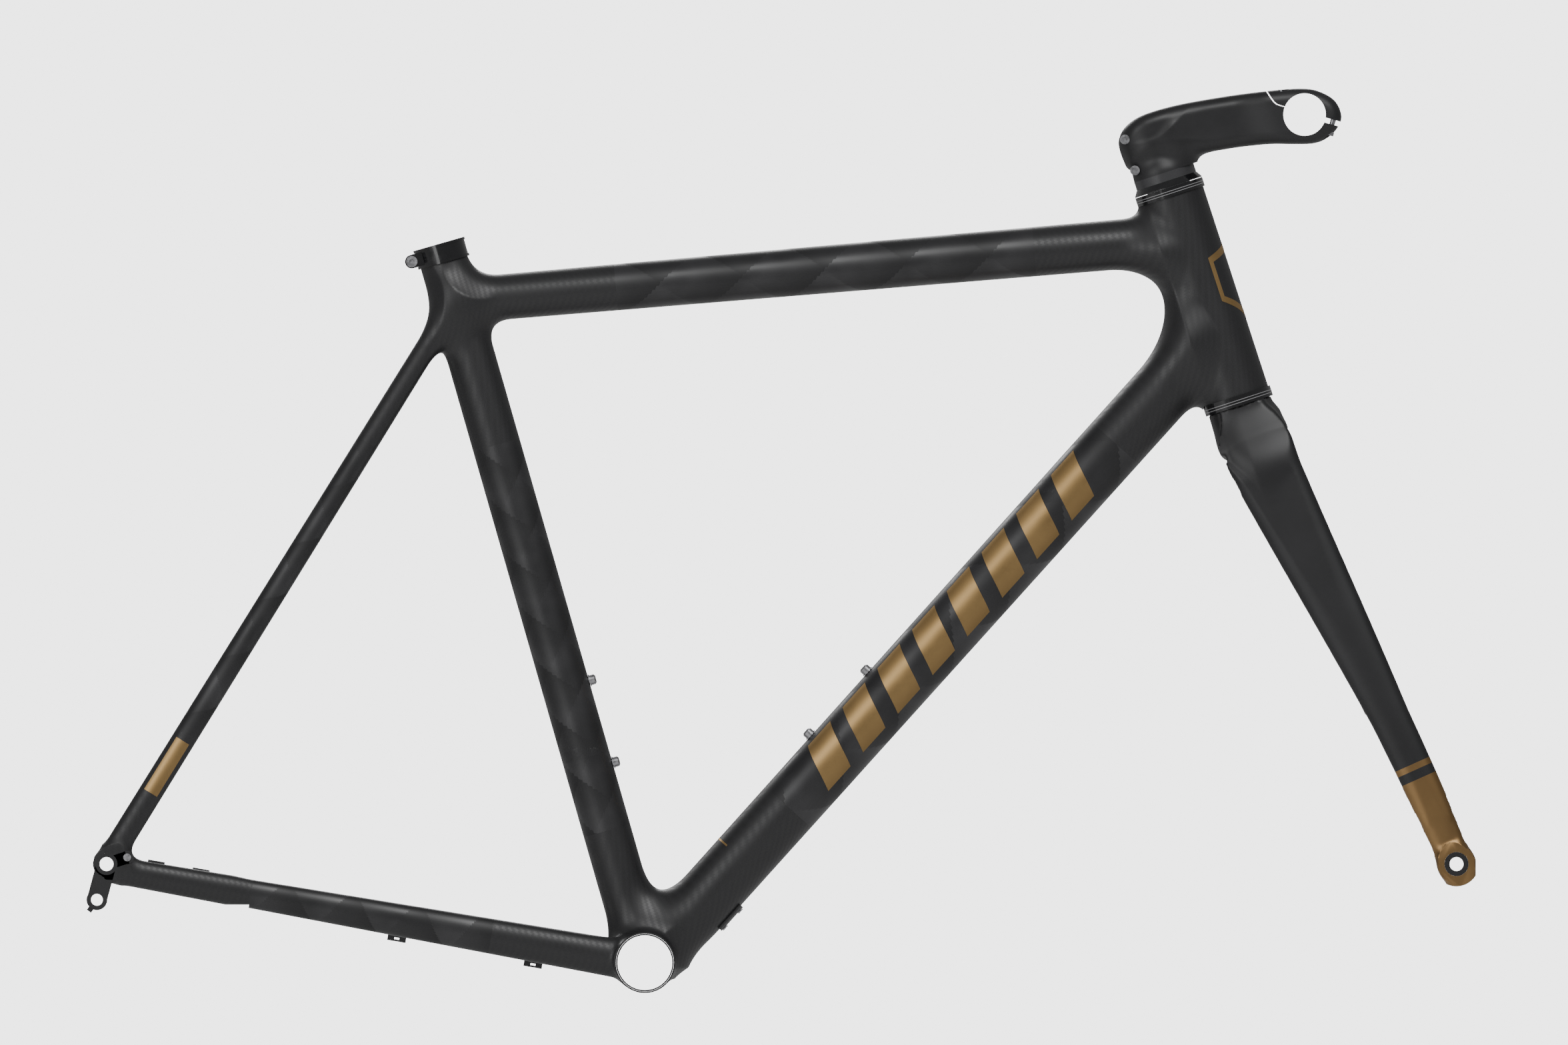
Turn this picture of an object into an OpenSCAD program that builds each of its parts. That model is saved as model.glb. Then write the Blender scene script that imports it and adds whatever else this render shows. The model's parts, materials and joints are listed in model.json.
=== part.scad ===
// Carbon road-bike frameset: bonded tubes and lugs, fork, headset, stem and seat clamp.
// The origin is the centre of the bottom bracket, +X points forward, +Y to the rider's left, +Z up.

/* [Frame geometry] */
// Angle of the seat tube from the ground, in degrees
seat_angle = 74; // [73:0.5:75]
// Angle of the head tube from the ground, in degrees
head_angle = 72; // [71.5:0.25:72.5]
// Seat tube from the bottom bracket to the top of its clamp
seat_tube_length = 561; // [556:1:570]
// Chainstay from the bottom bracket to the rear axle
chainstay_length = 410.5; // [408:0.5:415]
// How far the bottom bracket lies below the axles
bb_drop = 74; // [70:1:78]
// Distance between the axles
wheelbase = 1012.5; // [1008:0.5:1018]
// Fork from the axle to the crown, along the steering axis
fork_length = 376; // [374:1:380]
// Fork offset from the steering axis to the axle
fork_rake = 48.5; // [46:0.5:50]

/* [Tubes] */
// Diameter of the head tube
head_tube_d = 50; // [49:0.5:52]
// Diameter of the top tube at the seat end
top_tube_d = 34.8; // [33:0.2:37]
// Diameter of the down tube at the bottom bracket end
down_tube_d = 46.2; // [45:0.2:48]
// Diameter of the seat tube
seat_tube_d = 36.3; // [36.1:0.1:37]
// Wall of the wound tubes
tube_wall = 1.6; // [1.4:0.1:2]

/* [Standards] */
// Bore of the press-fit bottom bracket shell
bb_bore_d = 41; // [40:0.5:42]
// Width of the bottom bracket shell
bb_width = 86.5; // [84:0.5:90]
// Diameter of the seatpost
seatpost_d = 31.6; // [30.9:0.1:31.8]
// Width of the rear hub between the dropouts
rear_hub = 142; // [140:1:144]
// Width of the front hub between the fork tips
front_hub = 100; // [98:1:102]
// Diameter of the steerer
steerer_d = 28.6; // [28.6]
// Diameter of the handlebar at the stem's clamp
handlebar_d = 31.8; // [31.8]
// Distance between the screws of a bottle cage
cage_spacing = 64; // [60:1:68]

/* [Hidden] */
$fn = 48;

carbon = "#222225";
wound_carbon = "#1c1c1f";
anodised = "#0b0b0d";
silver = "#b4b4ba";
bearing_steel = "#8a8c90";
gold_paint = "#6b4d2c";

// ---- Points and directions in the XZ plane ----

rear_axle = [-sqrt(chainstay_length ^ 2 - bb_drop ^ 2), bb_drop];
front_axle = [rear_axle[0] + wheelbase, bb_drop];
seat_slope = 180 - seat_angle;
head_slope = 180 - head_angle;

function heading(a) = [cos(a), sin(a)];
function normal(a) = [sin(a), -cos(a)];
function slope(p, q) = atan2(q[1] - p[1], q[0] - p[0]);
function xyz(p, y) = [p[0], y, p[1]];

crown = front_axle - fork_rake * normal(head_slope) + fork_length * heading(head_slope);
function head_pt(s) = crown + s * heading(head_slope);
function seat_pt(t) = t * heading(seat_slope);

// Where the centre lines of the tubes meet the seat tube and the steering axis
top_at_seat = seat_pt(seat_tube_length - 44.6);
top_at_head = head_pt(133);
down_at_bb = [2.6, 0];
down_at_head = head_pt(59.6);
stay_at_bb = [0, -0.5];
stay_at_axle = rear_axle - [0, 3.3];

top_slope = slope(top_at_seat, top_at_head);
down_slope = slope(down_at_bb, down_at_head);
seatstay_slope = slope(top_at_seat, rear_axle);
chainstay_slope = slope(stay_at_bb, stay_at_axle);

// Where each wound tube starts and ends, measured along its centre line
top_span = [121, 436];
down_span = [157, 524];
seat_span = [103, 404];
seatstay_span = [125, 384];
chainstay_span = [117, 300];

// Headset and stem stations along the steering axis, above the crown
head_low = 9;
head_high = 166.4;
cup_depth = 12;
cover_base = 173.3;
spacer_base = 178.5;
stem_base = 185;
steerer_top = 224;
cup_flange_r = 26.4;
bearing_h = 6.5;
lower_bearing_base = 2.3;
upper_bearing_base = 166.3;

spigot = 18;
bond_gap = 0.12;
cup_r = 22;
bb_outer_r = 22.8;
bb_sleeve_r = 21.6;
sleeve_r = 16.8;
sides = 24;

// ---- Building blocks ----

// Puts +Z of its children along a direction in the XZ plane, and their +X on that direction's lower side
module along(p, a, y = 0) translate(xyz(p, y)) rotate([0, 90 - a, 0]) children();
module across(p, y) translate(xyz(p, y)) rotate([-90, 0, 0]) children();
module both_sides() {
    children();
    mirror([0, 1, 0]) children();
}

// A hole of n flat sides that clears a round plug of radius r
function clear_r(r, n) = r / cos(180 / n) + 0.02;

// One elliptical ring square to direction a: up is its half height and wide its half width
function ring(p, y, a, up, wide) = [
    for (i = [0:sides - 1]) let (t = 360 * i / sides)
        [p[0] - up * cos(t) * sin(a), y + wide * sin(t), p[1] + up * cos(t) * cos(a)]
];

function wall_faces(n, rows, base, flip) = [
    for (k = [0:rows - 2], i = [0:n - 1]) let (
        j = (i + 1) % n,
        a = base + k * n + i,
        b = base + k * n + j,
        c = base + (k + 1) * n + j,
        d = base + (k + 1) * n + i
    ) each flip ? [[a, c, b], [a, d, c]] : [[a, b, c], [a, c, d]]
];

// A closed solid through rings that all have the same number of points
module loft(rings) {
    n = len(rings[0]);
    rows = len(rings);
    first = [for (i = [n - 1:-1:0]) i];
    last = [for (i = [0:n - 1]) (rows - 1) * n + i];
    polyhedron([for (r = rings) each r], concat(wall_faces(n, rows, 0, false), [first, last]));
}

// A tube with its outside through one list of rings and its inside through another
module hollow_loft(outer, inner) {
    n = len(outer[0]);
    rows = len(outer);
    o = rows * n;
    rim = (rows - 1) * n;
    start = [for (i = [0:n - 1]) let (j = (i + 1) % n) each [[i, o + i, o + j], [i, o + j, j]]];
    end = [
        for (i = [0:n - 1]) let (j = (i + 1) % n)
            each [[rim + i, rim + j, o + rim + j], [rim + i, o + rim + j, o + rim + i]]
    ];
    polyhedron(
        [for (r = concat(outer, inner)) each r],
        concat(wall_faces(n, rows, 0, false), wall_faces(n, rows, o, true), start, end)
    );
}

// Convex segments, so that a lug stays one clean mesh
module chain(rings) {
    for (k = [0:len(rings) - 2]) hull() loft([rings[k], rings[k + 1]]);
}

// ---- Shapes of the tubes ----

function top_r(d) = top_tube_d / 2 + 0.0037 * (d - top_span[0]);
function down_r(d) = down_tube_d / 2 + 0.0012 * (d - down_span[0]);
function top_pt(d) = top_at_seat + d * heading(top_slope);
function down_pt(d) = down_at_bb + d * heading(down_slope);
function round_ring(p, a, r) = ring(p, 0, a, r, r);
function top_ring(d, grow = 0) = round_ring(top_pt(d), top_slope, top_r(d) + grow);
function down_ring(d, grow = 0) = round_ring(down_pt(d), down_slope, down_r(d) + grow);
function seat_ring(t, grow = 0) = round_ring(seat_pt(t), seat_slope, seat_tube_d / 2 + grow);

seatstay_length = norm(rear_axle - top_at_seat);
dropout_y = rear_hub / 2 + 4.5;
function seatstay_y(d) = 11 + (dropout_y - 11) * d / seatstay_length;
function seatstay_ring(d, grow = 0) = ring(
    top_at_seat + d * heading(seatstay_slope), seatstay_y(d), seatstay_slope,
    8.05 + 0.0024 * d + grow, 7.4 - 0.002 * d + grow
);

stay_line = norm(stay_at_axle - stay_at_bb);
function chainstay_y(d) = 31 + (dropout_y - 31) * (d / stay_line) ^ 1.6;
function chainstay_pt(d) = stay_at_bb + d * heading(chainstay_slope);
function chainstay_half(d) = 14.8 - 0.0136 * d;
function chainstay_ring(d, grow = 0) = ring(
    chainstay_pt(d), chainstay_y(d), chainstay_slope, chainstay_half(d) + grow, 9.6 - 0.0085 * d + grow
);

// ---- Fillets: a torus arc that rounds the corner between two straight edges ----

// Where the line through p along a meets the line through q along b
function meet(p, a, q, b) = let (
    u = heading(a), v = heading(b), w = q - p,
    k = (w[0] * v[1] - w[1] * v[0]) / (u[0] * v[1] - u[1] * v[0])
) p + k * u;

// Edge lines run at offset e from a centre line: void_r rounds the open corner, thick is the arc's own radius
web_bite = 0.45;
module corner_web(p, a, e, q, b, f, void_r, thick) {
    c = meet(
        p + (e + sign(e) * (void_r - web_bite)) * normal(a), a,
        q + (f + sign(f) * (void_r - web_bite)) * normal(b), b
    );
    from = slope(c, c - sign(e) * normal(a));
    to = slope(c, c - sign(f) * normal(b));
    turn = (to - from + 540) % 360 - 180;
    translate(xyz(c, 0)) rotate([90, 0, 0]) rotate([0, 0, turn > 0 ? from - 4 : to - 4])
        rotate_extrude(angle = abs(turn) + 8, $fn = 60) translate([void_r + thick, 0]) circle(thick, $fn = 20);
}

// ---- Lugs ----

module head_lug() color(carbon) difference() {
    union() {
        along(head_pt(head_low), head_slope) cylinder(r = head_tube_d / 2, h = head_high - head_low);
        chain([for (d = [top_span[1], 470, 500, 533]) top_ring(d, d > 480 ? 1.2 : 0)]);
        chain([for (d = [down_span[1], 560, 590, 620]) down_ring(d, d > 570 ? 1 : 0)]);
        hull() loft([for (d = [top_span[1] - spigot, top_span[1] + 6]) top_ring(d, -tube_wall - bond_gap)]);
        hull() loft([for (d = [down_span[1] - spigot, down_span[1] + 6]) down_ring(d, -tube_wall - bond_gap)]);
        corner_web(top_at_head, top_slope, top_r(500), head_pt(0), head_slope, -head_tube_d / 2, 23, 14);
        corner_web(down_at_head, down_slope, -down_r(590), head_pt(0), head_slope, -head_tube_d / 2, 40, 15);
        corner_web(top_at_head, top_slope, -top_r(500), head_pt(0), head_slope, -head_tube_d / 2, 8, 10);
    }
    along(head_pt(0), head_slope) cylinder(r = clear_r(cup_r, 48), h = head_high + 10);
    along(head_pt(-30), head_slope) cylinder(r = 40, h = 30 + head_low);
    along(head_pt(head_high), head_slope) cylinder(r = 40, h = 40);
    hull() loft([for (d = [top_span[1] - spigot - 1, 526.3]) top_ring(d, -tube_wall - 1.53)]);
    hull() loft([for (d = [down_span[1] - spigot - 1, 620]) down_ring(d, -tube_wall - 1.5)]);
}

module seat_lug() color(carbon) difference() {
    union() {
        along(seat_pt(seat_span[1]), seat_slope) cylinder(r = seat_tube_d / 2, h = seat_tube_length - 0.8 - seat_span[1]);
        chain([for (d = [0, 40, 80, top_span[0]]) top_ring(d, d < 60 ? 0.4 : 0)]);
        hull() loft([for (d = [top_span[0] - 6, top_span[0] + spigot]) top_ring(d, -tube_wall - bond_gap)]);
        corner_web(top_at_seat, top_slope, -top_r(40), seat_pt(0), seat_slope, seat_tube_d / 2, 20, 12);
        corner_web(top_at_seat, top_slope, top_r(40), seat_pt(0), seat_slope, seat_tube_d / 2, 12, 12);
        both_sides() {
            chain([for (d = [8, 50, 90, seatstay_span[0]]) seatstay_ring(d)]);
            hull() loft([for (d = [seatstay_span[0] - 4, seatstay_span[0] + spigot])
                seatstay_ring(d, -tube_wall - bond_gap)]);
        }
    }
    along(seat_pt(seat_span[1] - 1), seat_slope) cylinder(r = clear_r(sleeve_r, 48), h = 300);
    hull() loft([for (d = [20, top_span[0] + spigot + 1]) top_ring(d, -tube_wall - 1.5)]);
    both_sides() hull() loft([for (d = [60, seatstay_span[0] + spigot + 1]) seatstay_ring(d, -tube_wall - 1.4)]);
    seat_slot();
}

// The slot at the back of the seat tube that lets the clamp close
module seat_slot() {
    along(seat_pt(seat_tube_length - 32), seat_slope) translate([-22, -1, 0]) cube([14, 2, 40]);
    along(seat_pt(seat_tube_length - 32), seat_slope) rotate([0, -90, 0]) cylinder(r = 2.2, h = 24, $fn = 24);
}

module bb_lug() color(carbon) difference() {
    union() {
        across([0, 0], -bb_width / 2 + 0.4) cylinder(r = bb_outer_r, h = bb_width - 0.8);
        chain([for (d = [0, 50, 100, down_span[0]]) down_ring(d)]);
        hull() loft([for (d = [down_span[0] - 6, down_span[0] + spigot]) down_ring(d, -tube_wall - bond_gap)]);
        chain([for (t = [0, 35, 70, seat_span[0]]) seat_ring(t)]);
        hull() loft([for (t = [seat_span[0] - 6, seat_span[0] + spigot]) seat_ring(t, -tube_wall - bond_gap)]);
        corner_web(down_at_bb, down_slope, -down_r(50), [0, 0], seat_slope, seat_tube_d / 2, 12, 10);
        both_sides() {
            chain([for (d = [0, 40, 80, chainstay_span[0]]) chainstay_ring(d)]);
            hull() loft([for (d = [chainstay_span[0] - 4, chainstay_span[0] + spigot])
                chainstay_ring(d, -tube_wall - bond_gap)]);
        }
    }
    across([0, 0], -bb_width) cylinder(r = clear_r(bb_sleeve_r, 60), h = 2 * bb_width, $fn = 60);
    hull() loft([for (d = [30, down_span[0] + spigot + 1]) down_ring(d, -tube_wall - 1.5)]);
    hull() loft([for (t = [30, seat_span[0] + spigot + 1]) seat_ring(t, -tube_wall - 1.5)]);
    both_sides() hull() loft([for (d = [45, chainstay_span[0] + spigot + 1])
        chainstay_ring(d, -tube_wall - 1.4)]);
    for (s = port_screws) port_hole(s);
}

// ---- Wound tubes ----

// A straight tapered tube between two stations, open at both ends
module straight_tube(p, a, span, r0, r1) along(p + span[0] * heading(a), a) difference() {
    long = span[1] - span[0];
    cylinder(r1 = r0, r2 = r1, h = long);
    translate([0, 0, -1]) cylinder(r1 = r0 - tube_wall, r2 = r1 - tube_wall, h = long + 2);
}

cage_seat = [183 - cage_spacing / 2, 183 + cage_spacing / 2];
cage_down = [240.3 - cage_spacing / 2, 240.3 + cage_spacing / 2];
insert_r = 3.4;

// Places its children at the four bottle-cage points, +Z out of the tube's surface
module at_cages() {
    for (t = cage_seat)
        along(seat_pt(t) + seat_tube_d / 2 * normal(seat_slope), seat_slope - 90) children();
    for (d = cage_down) along(down_pt(d) - down_r(d) * normal(down_slope), down_slope + 90) children();
}

module top_tube() color(wound_carbon)
    straight_tube(top_at_seat, top_slope, top_span, top_r(top_span[0]), top_r(top_span[1]));

module down_tube() color(wound_carbon) difference() {
    straight_tube(down_at_bb, down_slope, down_span, down_r(down_span[0]), down_r(down_span[1]));
    at_cages() translate([0, 0, -6]) cylinder(r = insert_r, h = 12);
}

module seat_tube() color(wound_carbon) difference() {
    straight_tube([0, 0], seat_slope, seat_span, seat_tube_d / 2, seat_tube_d / 2);
    at_cages() translate([0, 0, -6]) cylinder(r = insert_r, h = 12);
}

module seatstay() hollow_loft(
    [for (k = [0:4]) seatstay_ring(seatstay_span[0] + k / 4 * (seatstay_span[1] - seatstay_span[0]))],
    [for (k = [0:4]) seatstay_ring(seatstay_span[0] + k / 4 * (seatstay_span[1] - seatstay_span[0]), -tube_wall)]
);

module chainstay() hollow_loft(
    [for (k = [0:7]) chainstay_ring(chainstay_span[0] + k / 7 * (chainstay_span[1] - chainstay_span[0]))],
    [for (k = [0:7]) chainstay_ring(chainstay_span[0] + k / 7 * (chainstay_span[1] - chainstay_span[0]), -tube_wall)]
);

module chainstay_left() color(wound_carbon) chainstay();
module chainstay_right() color(wound_carbon) mirror([0, 1, 0]) chainstay();
module seatstay_left() color(wound_carbon) seatstay();
module seatstay_right() color(wound_carbon) mirror([0, 1, 0]) seatstay();

// ---- Rear dropouts, hanger and brake mount ----

axle_clear_r = 6.05;
dropout_r = 10.2;
dropout_seat_r = 8.2;
dropout_t = 9;
mount_gap = 34;
pad_stations = [374 - mount_gap, 374];
pad_y = chainstay_y(356);
pad_low = 9.4;
pad_top = 2.7;
stay_swell = 0.8;
swell_stations = [318, 362, 392];
guide_stations = [186.5, 82.5];

module rear_dropout() difference() {
    union() {
        chain([for (d = [seatstay_span[1], 415, 446, 470]) seatstay_ring(d, d > 420 ? stay_swell : 0)]);
        chain([
            chainstay_ring(chainstay_span[1]),
            for (d = swell_stations) chainstay_ring(d, stay_swell)
        ]);
        hull() loft([for (d = [seatstay_span[1] - spigot, seatstay_span[1] + 6])
            seatstay_ring(d, -tube_wall - bond_gap)]);
        hull() loft([for (d = [chainstay_span[1] - spigot, chainstay_span[1] + 6])
            chainstay_ring(d, -tube_wall - bond_gap)]);
        hull() {
            across(rear_axle, rear_hub / 2) cylinder(r = dropout_r, h = dropout_t, $fn = 32);
            across(rear_axle + [19, 12], rear_hub / 2 + 0.5) cylinder(r = 13, h = 8, $fn = 32);
        }
    }
    across(rear_axle, 0) cylinder(r = clear_r(dropout_seat_r, 48), h = rear_hub);
    across(rear_axle, rear_hub / 2 - 20) cylinder(r = 22, h = 20);
    hull() loft([for (d = [seatstay_span[1] - spigot - 1, 440]) seatstay_ring(d, -tube_wall - 1.4)]);
    hull() loft([for (d = [chainstay_span[1] - spigot - 1, 335]) chainstay_ring(d, -tube_wall - 1.4)]);
}

module rear_dropout_left() color(carbon) difference() {
    rear_dropout();
    at_pads() translate([0, 0, -40]) cylinder(r = 2.8, h = 60, $fn = 24);
}

hanger_hole = rear_axle + [-7.2, -26.8];
hanger_screw_at = rear_axle + [15.5, 5];
thread_r = 5.2;
hanger_thread_r = 4.4;
// The hanger's two links: the point each one reaches, its half width and its thickness
screw_link = [hanger_screw_at, 5, 4];
hole_link = [hanger_hole, 7.8, 7];

// Room for the hanger's two links in the outside face
module hanger_pocket() across(rear_axle, -rear_hub / 2 - dropout_t - 3) for (l = [screw_link, hole_link])
    rotate([0, 0, -slope(rear_axle, l[0])]) {
        translate([0, -l[1] - 0.2, 0]) cube([norm(l[0] - rear_axle), 2 * l[1] + 0.4, l[2] + 3.2]);
        translate([norm(l[0] - rear_axle), 0, 0]) cylinder(r = l[1] + 0.2, h = l[2] + 3.2);
    }

module rear_dropout_right() color(carbon) difference() {
    mirror([0, 1, 0]) rear_dropout();
    hanger_pocket();
}

// Places its children on top of the left chainstay where the brake calliper bolts on, +Z up
module at_pads() for (d = pad_stations)
    along(chainstay_pt(d) + pad_low * normal(chainstay_slope), chainstay_slope - 90, pad_y) children();

module brake_mount_pads() color(anodised) difference() {
    at_pads() translate([-6.4, -6, -3]) cube([12.8, 12, pad_top + 3]);
    at_pads() translate([0, 0, -4]) cylinder(r = 3.4, h = 5.1);
    at_pads() cylinder(r = 2.6, h = 6);
    chain([for (d = swell_stations) chainstay_ring(d, stay_swell + 0.05)]);
}

module rear_axle_insert() color(anodised) across(rear_axle, rear_hub / 2) difference() {
    cylinder(r = dropout_seat_r, h = 9);
    translate([0, 0, -1]) cylinder(r = axle_clear_r, h = 12);
}

// The hanger's boss, which fills a round seat in the right dropout
module hanger_blank() across(rear_axle, -rear_hub / 2 - dropout_t) cylinder(r = dropout_seat_r, h = dropout_t);

// A flat link from the axle, thick from the outside face inwards
module hanger_link(l) {
    across(rear_axle, -rear_hub / 2 - dropout_t) rotate([0, 0, -slope(rear_axle, l[0])])
        linear_extrude(l[2]) union() {
            translate([0, -l[1] + 0.3]) square([norm(l[0] - rear_axle), 2 * l[1] - 0.6]);
            translate([norm(l[0] - rear_axle), 0]) circle(l[1]);
        }
}

module derailleur_hanger() color(anodised) difference() {
    union() {
        hanger_blank();
        hanger_link(screw_link);
        hanger_link(hole_link);
        across(hanger_hole, -rear_hub / 2 - 9) rotate([0, 0, 128]) translate([4, -2.5, 0.5]) cube([6.5, 4, 5]);
    }
    across(rear_axle, -rear_hub / 2 - 10) cylinder(r = thread_r, h = 12);
    across(hanger_hole, -rear_hub / 2 - 10) cylinder(r = hanger_thread_r, h = 9);
    across(hanger_screw_at, -rear_hub / 2 - 10) cylinder(r = 1.5, h = 12);
}

module hanger_screw() color(silver) across(hanger_screw_at, -rear_hub / 2 - 9) {
    cylinder(r = 1.5, h = 4);
    translate([0, 0, -1.4]) cylinder(r = 2.9, h = 1.4);
}

// ---- Bottom bracket and seat cluster ----

module bb_sleeve() color(anodised) across([0, 0], -bb_width / 2) difference() {
    cylinder(r = bb_sleeve_r, h = bb_width);
    translate([0, 0, -1]) cylinder(r = bb_bore_d / 2, h = bb_width + 2);
}

module seatpost_sleeve() color(anodised) difference() {
    along(seat_pt(seat_span[1] - spigot), seat_slope) difference() {
        union() {
            cylinder(r = seat_tube_d / 2 - tube_wall - bond_gap, h = spigot + 1);
            translate([0, 0, spigot]) cylinder(r = sleeve_r, h = seat_tube_length - seat_span[1]);
        }
        translate([0, 0, -1]) cylinder(r = seatpost_d / 2, h = 300);
    }
    seat_slot();
}

clamp_h = 14.5;
clamp_r = 19.3;
clamp_lip_r = 20;
clamp_bore_r = 18.6;
ear_out = 23.1;
ear_r = 5.1;
ear_w = 13;
m5_r = 2.5;

module on_clamp() along(seat_pt(seat_tube_length - clamp_h), seat_slope) children();

module seat_clamp() color(anodised) on_clamp() difference() {
    union() {
        cylinder(r = clamp_r, h = clamp_h);
        cylinder(r = clamp_lip_r, h = 2);
        translate([0, 0, clamp_h - 2]) cylinder(r = clamp_lip_r, h = 2);
        translate([-ear_out, 0, clamp_h / 2]) rotate([90, 0, 0]) cylinder(r = ear_r, h = 2 * ear_w, center = true);
        translate([-ear_out, -ear_w, clamp_h / 2 - ear_r]) cube([ear_out - 12, 2 * ear_w, 2 * ear_r]);
    }
    translate([0, 0, -1]) cylinder(r = clamp_bore_r, h = clamp_h + 2);
    translate([-40, -1.2, -1]) cube([30, 2.4, clamp_h + 2]);
    translate([-ear_out, 0, clamp_h / 2]) rotate([90, 0, 0]) cylinder(r = m5_r, h = 60, center = true);
}

module seat_clamp_bolt() color(silver) on_clamp() translate([-ear_out, 0, clamp_h / 2]) rotate([90, 0, 0])
    difference() {
        union() {
            translate([0, 0, -ear_w]) cylinder(r = m5_r, h = 2 * ear_w + 0.01);
            translate([0, 0, ear_w]) cylinder(r = 4.25, h = 4.6);
        }
        translate([0, 0, ear_w + 2]) cylinder(r = 2.3, h = 4, $fn = 6);
    }

module seat_clamp_nut() color(silver) on_clamp() translate([-ear_out, 0, clamp_h / 2]) rotate([90, 0, 0])
    translate([0, 0, -ear_w - 3.2]) cylinder(r = 4.4, h = 3.2);

// ---- Small parts on the tubes ----

module bottle_inserts() color(silver) at_cages() difference() {
    union() {
        translate([0, 0, -5]) cylinder(r = insert_r - 0.1, h = 5.1);
        translate([0, 0, 0.1]) cylinder(r = 4.6, h = 0.9);
    }
    translate([0, 0, -6]) cylinder(r = 2.1, h = 8);
}

module bottle_screws() color(silver) at_cages() difference() {
    union() {
        translate([0, 0, -8]) cylinder(r = 2.1, h = 9.2);
        translate([0, 0, 1]) cylinder(r = 3.9, h = 3.2);
        translate([0, 0, 4.2]) cylinder(r1 = 3.9, r2 = 2.6, h = 1.2);
    }
    translate([0, 0, 2.8]) cylinder(r = 1.75, h = 3, $fn = 6);
}

// A foot under the left chainstay at station d, with a slot for a tie
module cable_guide(d) difference() {
    along(chainstay_pt(d) - chainstay_half(d) * normal(chainstay_slope), chainstay_slope + 90, chainstay_y(d))
        difference() {
            translate([-7, -4, -2.5]) cube([14, 8, 6.4]);
            translate([-1.9, -5, 1]) cube([3.8, 10, 1.5]);
        }
    hull() loft([for (e = [d - 12, d + 12]) chainstay_ring(e, 0.15)]);
}

module cable_guides() color(anodised) for (d = guide_stations) cable_guide(d);

port_at = 66.5;
port_l = 24;
port_proud = 2;
port_turn = 42;
port_screws = [port_at - 8.5, port_at + 8.5];

module port_hole(d) along(down_pt(d), down_slope) rotate([0, 90, 0])
    translate([0, 0, 12]) cylinder(r = 1.3, h = 20, $fn = 16);

module port_cover() color(anodised) difference() {
    along(down_pt(port_at - port_l / 2), down_slope) rotate([0, 0, -port_turn / 2])
        rotate_extrude(angle = port_turn) translate([down_r(port_at) + 0.05, 0]) square([port_proud, port_l]);
    for (s = port_screws) port_hole(s);
}

module port_cover_screws() color(silver) for (d = port_screws)
    along(down_pt(d), down_slope) rotate([0, 90, 0]) translate([0, 0, down_r(d) - 6]) {
        cylinder(r = 1.25, h = 6 + port_proud + 0.1);
        translate([0, 0, 6 + port_proud + 0.1]) cylinder(r = 2.4, h = 0.9);
    }

// ---- Headset: profiles turned round the steering axis, in radius and height above the crown ----

module turned(profile) along(head_pt(0), head_slope) rotate_extrude() polygon(profile);

race_in = 15.08;
race_mid = 16.9;
race_out = 19;
ball_r = 1.03;
ball_ring_r = (race_mid + race_out) / 2;
balls = 36;
bearing_r = 20.9;
shoulder_r = 19.6;
steerer_r = steerer_d / 2;
crown_gap = 1.2;

module lower_cup() color(anodised) turned([
    [21.4, crown_gap], [cup_flange_r, crown_gap], [cup_flange_r, head_low], [cup_r, head_low],
    [cup_r, head_low + cup_depth], [shoulder_r, head_low + cup_depth],
    [shoulder_r, lower_bearing_base + bearing_h], [bearing_r, lower_bearing_base + bearing_h],
    [bearing_r, 2.2], [21.4, 2.2]
]);

module upper_cup() color(anodised) turned([
    [cup_r, head_high - cup_depth], [cup_r, head_high], [cup_flange_r, head_high],
    [cup_flange_r, cover_base], [bearing_r, cover_base], [bearing_r, upper_bearing_base],
    [shoulder_r, upper_bearing_base], [shoulder_r, head_high - cup_depth]
]);

module race(base, r0, r1) turned([[r0, base], [r1, base], [r1, base + bearing_h], [r0, base + bearing_h]]);
module lower_outer_race() color(bearing_steel) race(lower_bearing_base, race_out, bearing_r);
module upper_outer_race() color(bearing_steel) race(upper_bearing_base, race_out, bearing_r);
module lower_inner_race() color(bearing_steel) race(lower_bearing_base, race_in, race_mid);
module upper_inner_race() color(bearing_steel) race(upper_bearing_base, race_in, race_mid);

module ball_set(base) along(head_pt(base + bearing_h / 2), head_slope)
    for (i = [0:balls - 1]) rotate([0, 0, i * 360 / balls]) translate([ball_ring_r, 0, 0]) sphere(ball_r, $fn = 24);
module lower_balls() color(bearing_steel) ball_set(lower_bearing_base);
module upper_balls() color(bearing_steel) ball_set(upper_bearing_base);

module crown_race() color(anodised) turned([
    [steerer_r, 0], [20.6, 0], [20.6, 1.8], [race_mid, 1.8], [race_mid, lower_bearing_base],
    [race_in, lower_bearing_base], [race_in, 8.4], [steerer_r, 8.4]
]);

module compression_ring() color(anodised) turned([
    [steerer_r, 168], [race_in, 168], [race_in, upper_bearing_base + bearing_h],
    [race_mid - 0.1, upper_bearing_base + bearing_h], [race_mid - 0.1, cover_base + 0.3],
    [steerer_r, cover_base + 0.3]
]);

module bearing_cover() color(anodised) turned([
    [steerer_r, cover_base + 0.3], [26.2, cover_base + 0.3], [26.2, cover_base + 1.1],
    [23.5, spacer_base], [steerer_r, spacer_base]
]);

module headset_spacer() color(anodised) turned([
    [steerer_r, spacer_base], [23.4, spacer_base], [23.4, stem_base], [steerer_r, stem_base]
]);

// ---- Fork ----

steerer_wall = 2.6;
steerer_foot = -14;

module steerer() color(carbon) turned([
    [steerer_r - steerer_wall, steerer_foot], [steerer_r, steerer_foot],
    [steerer_r, steerer_top - 2], [steerer_r - steerer_wall, steerer_top - 2]
]);

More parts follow.
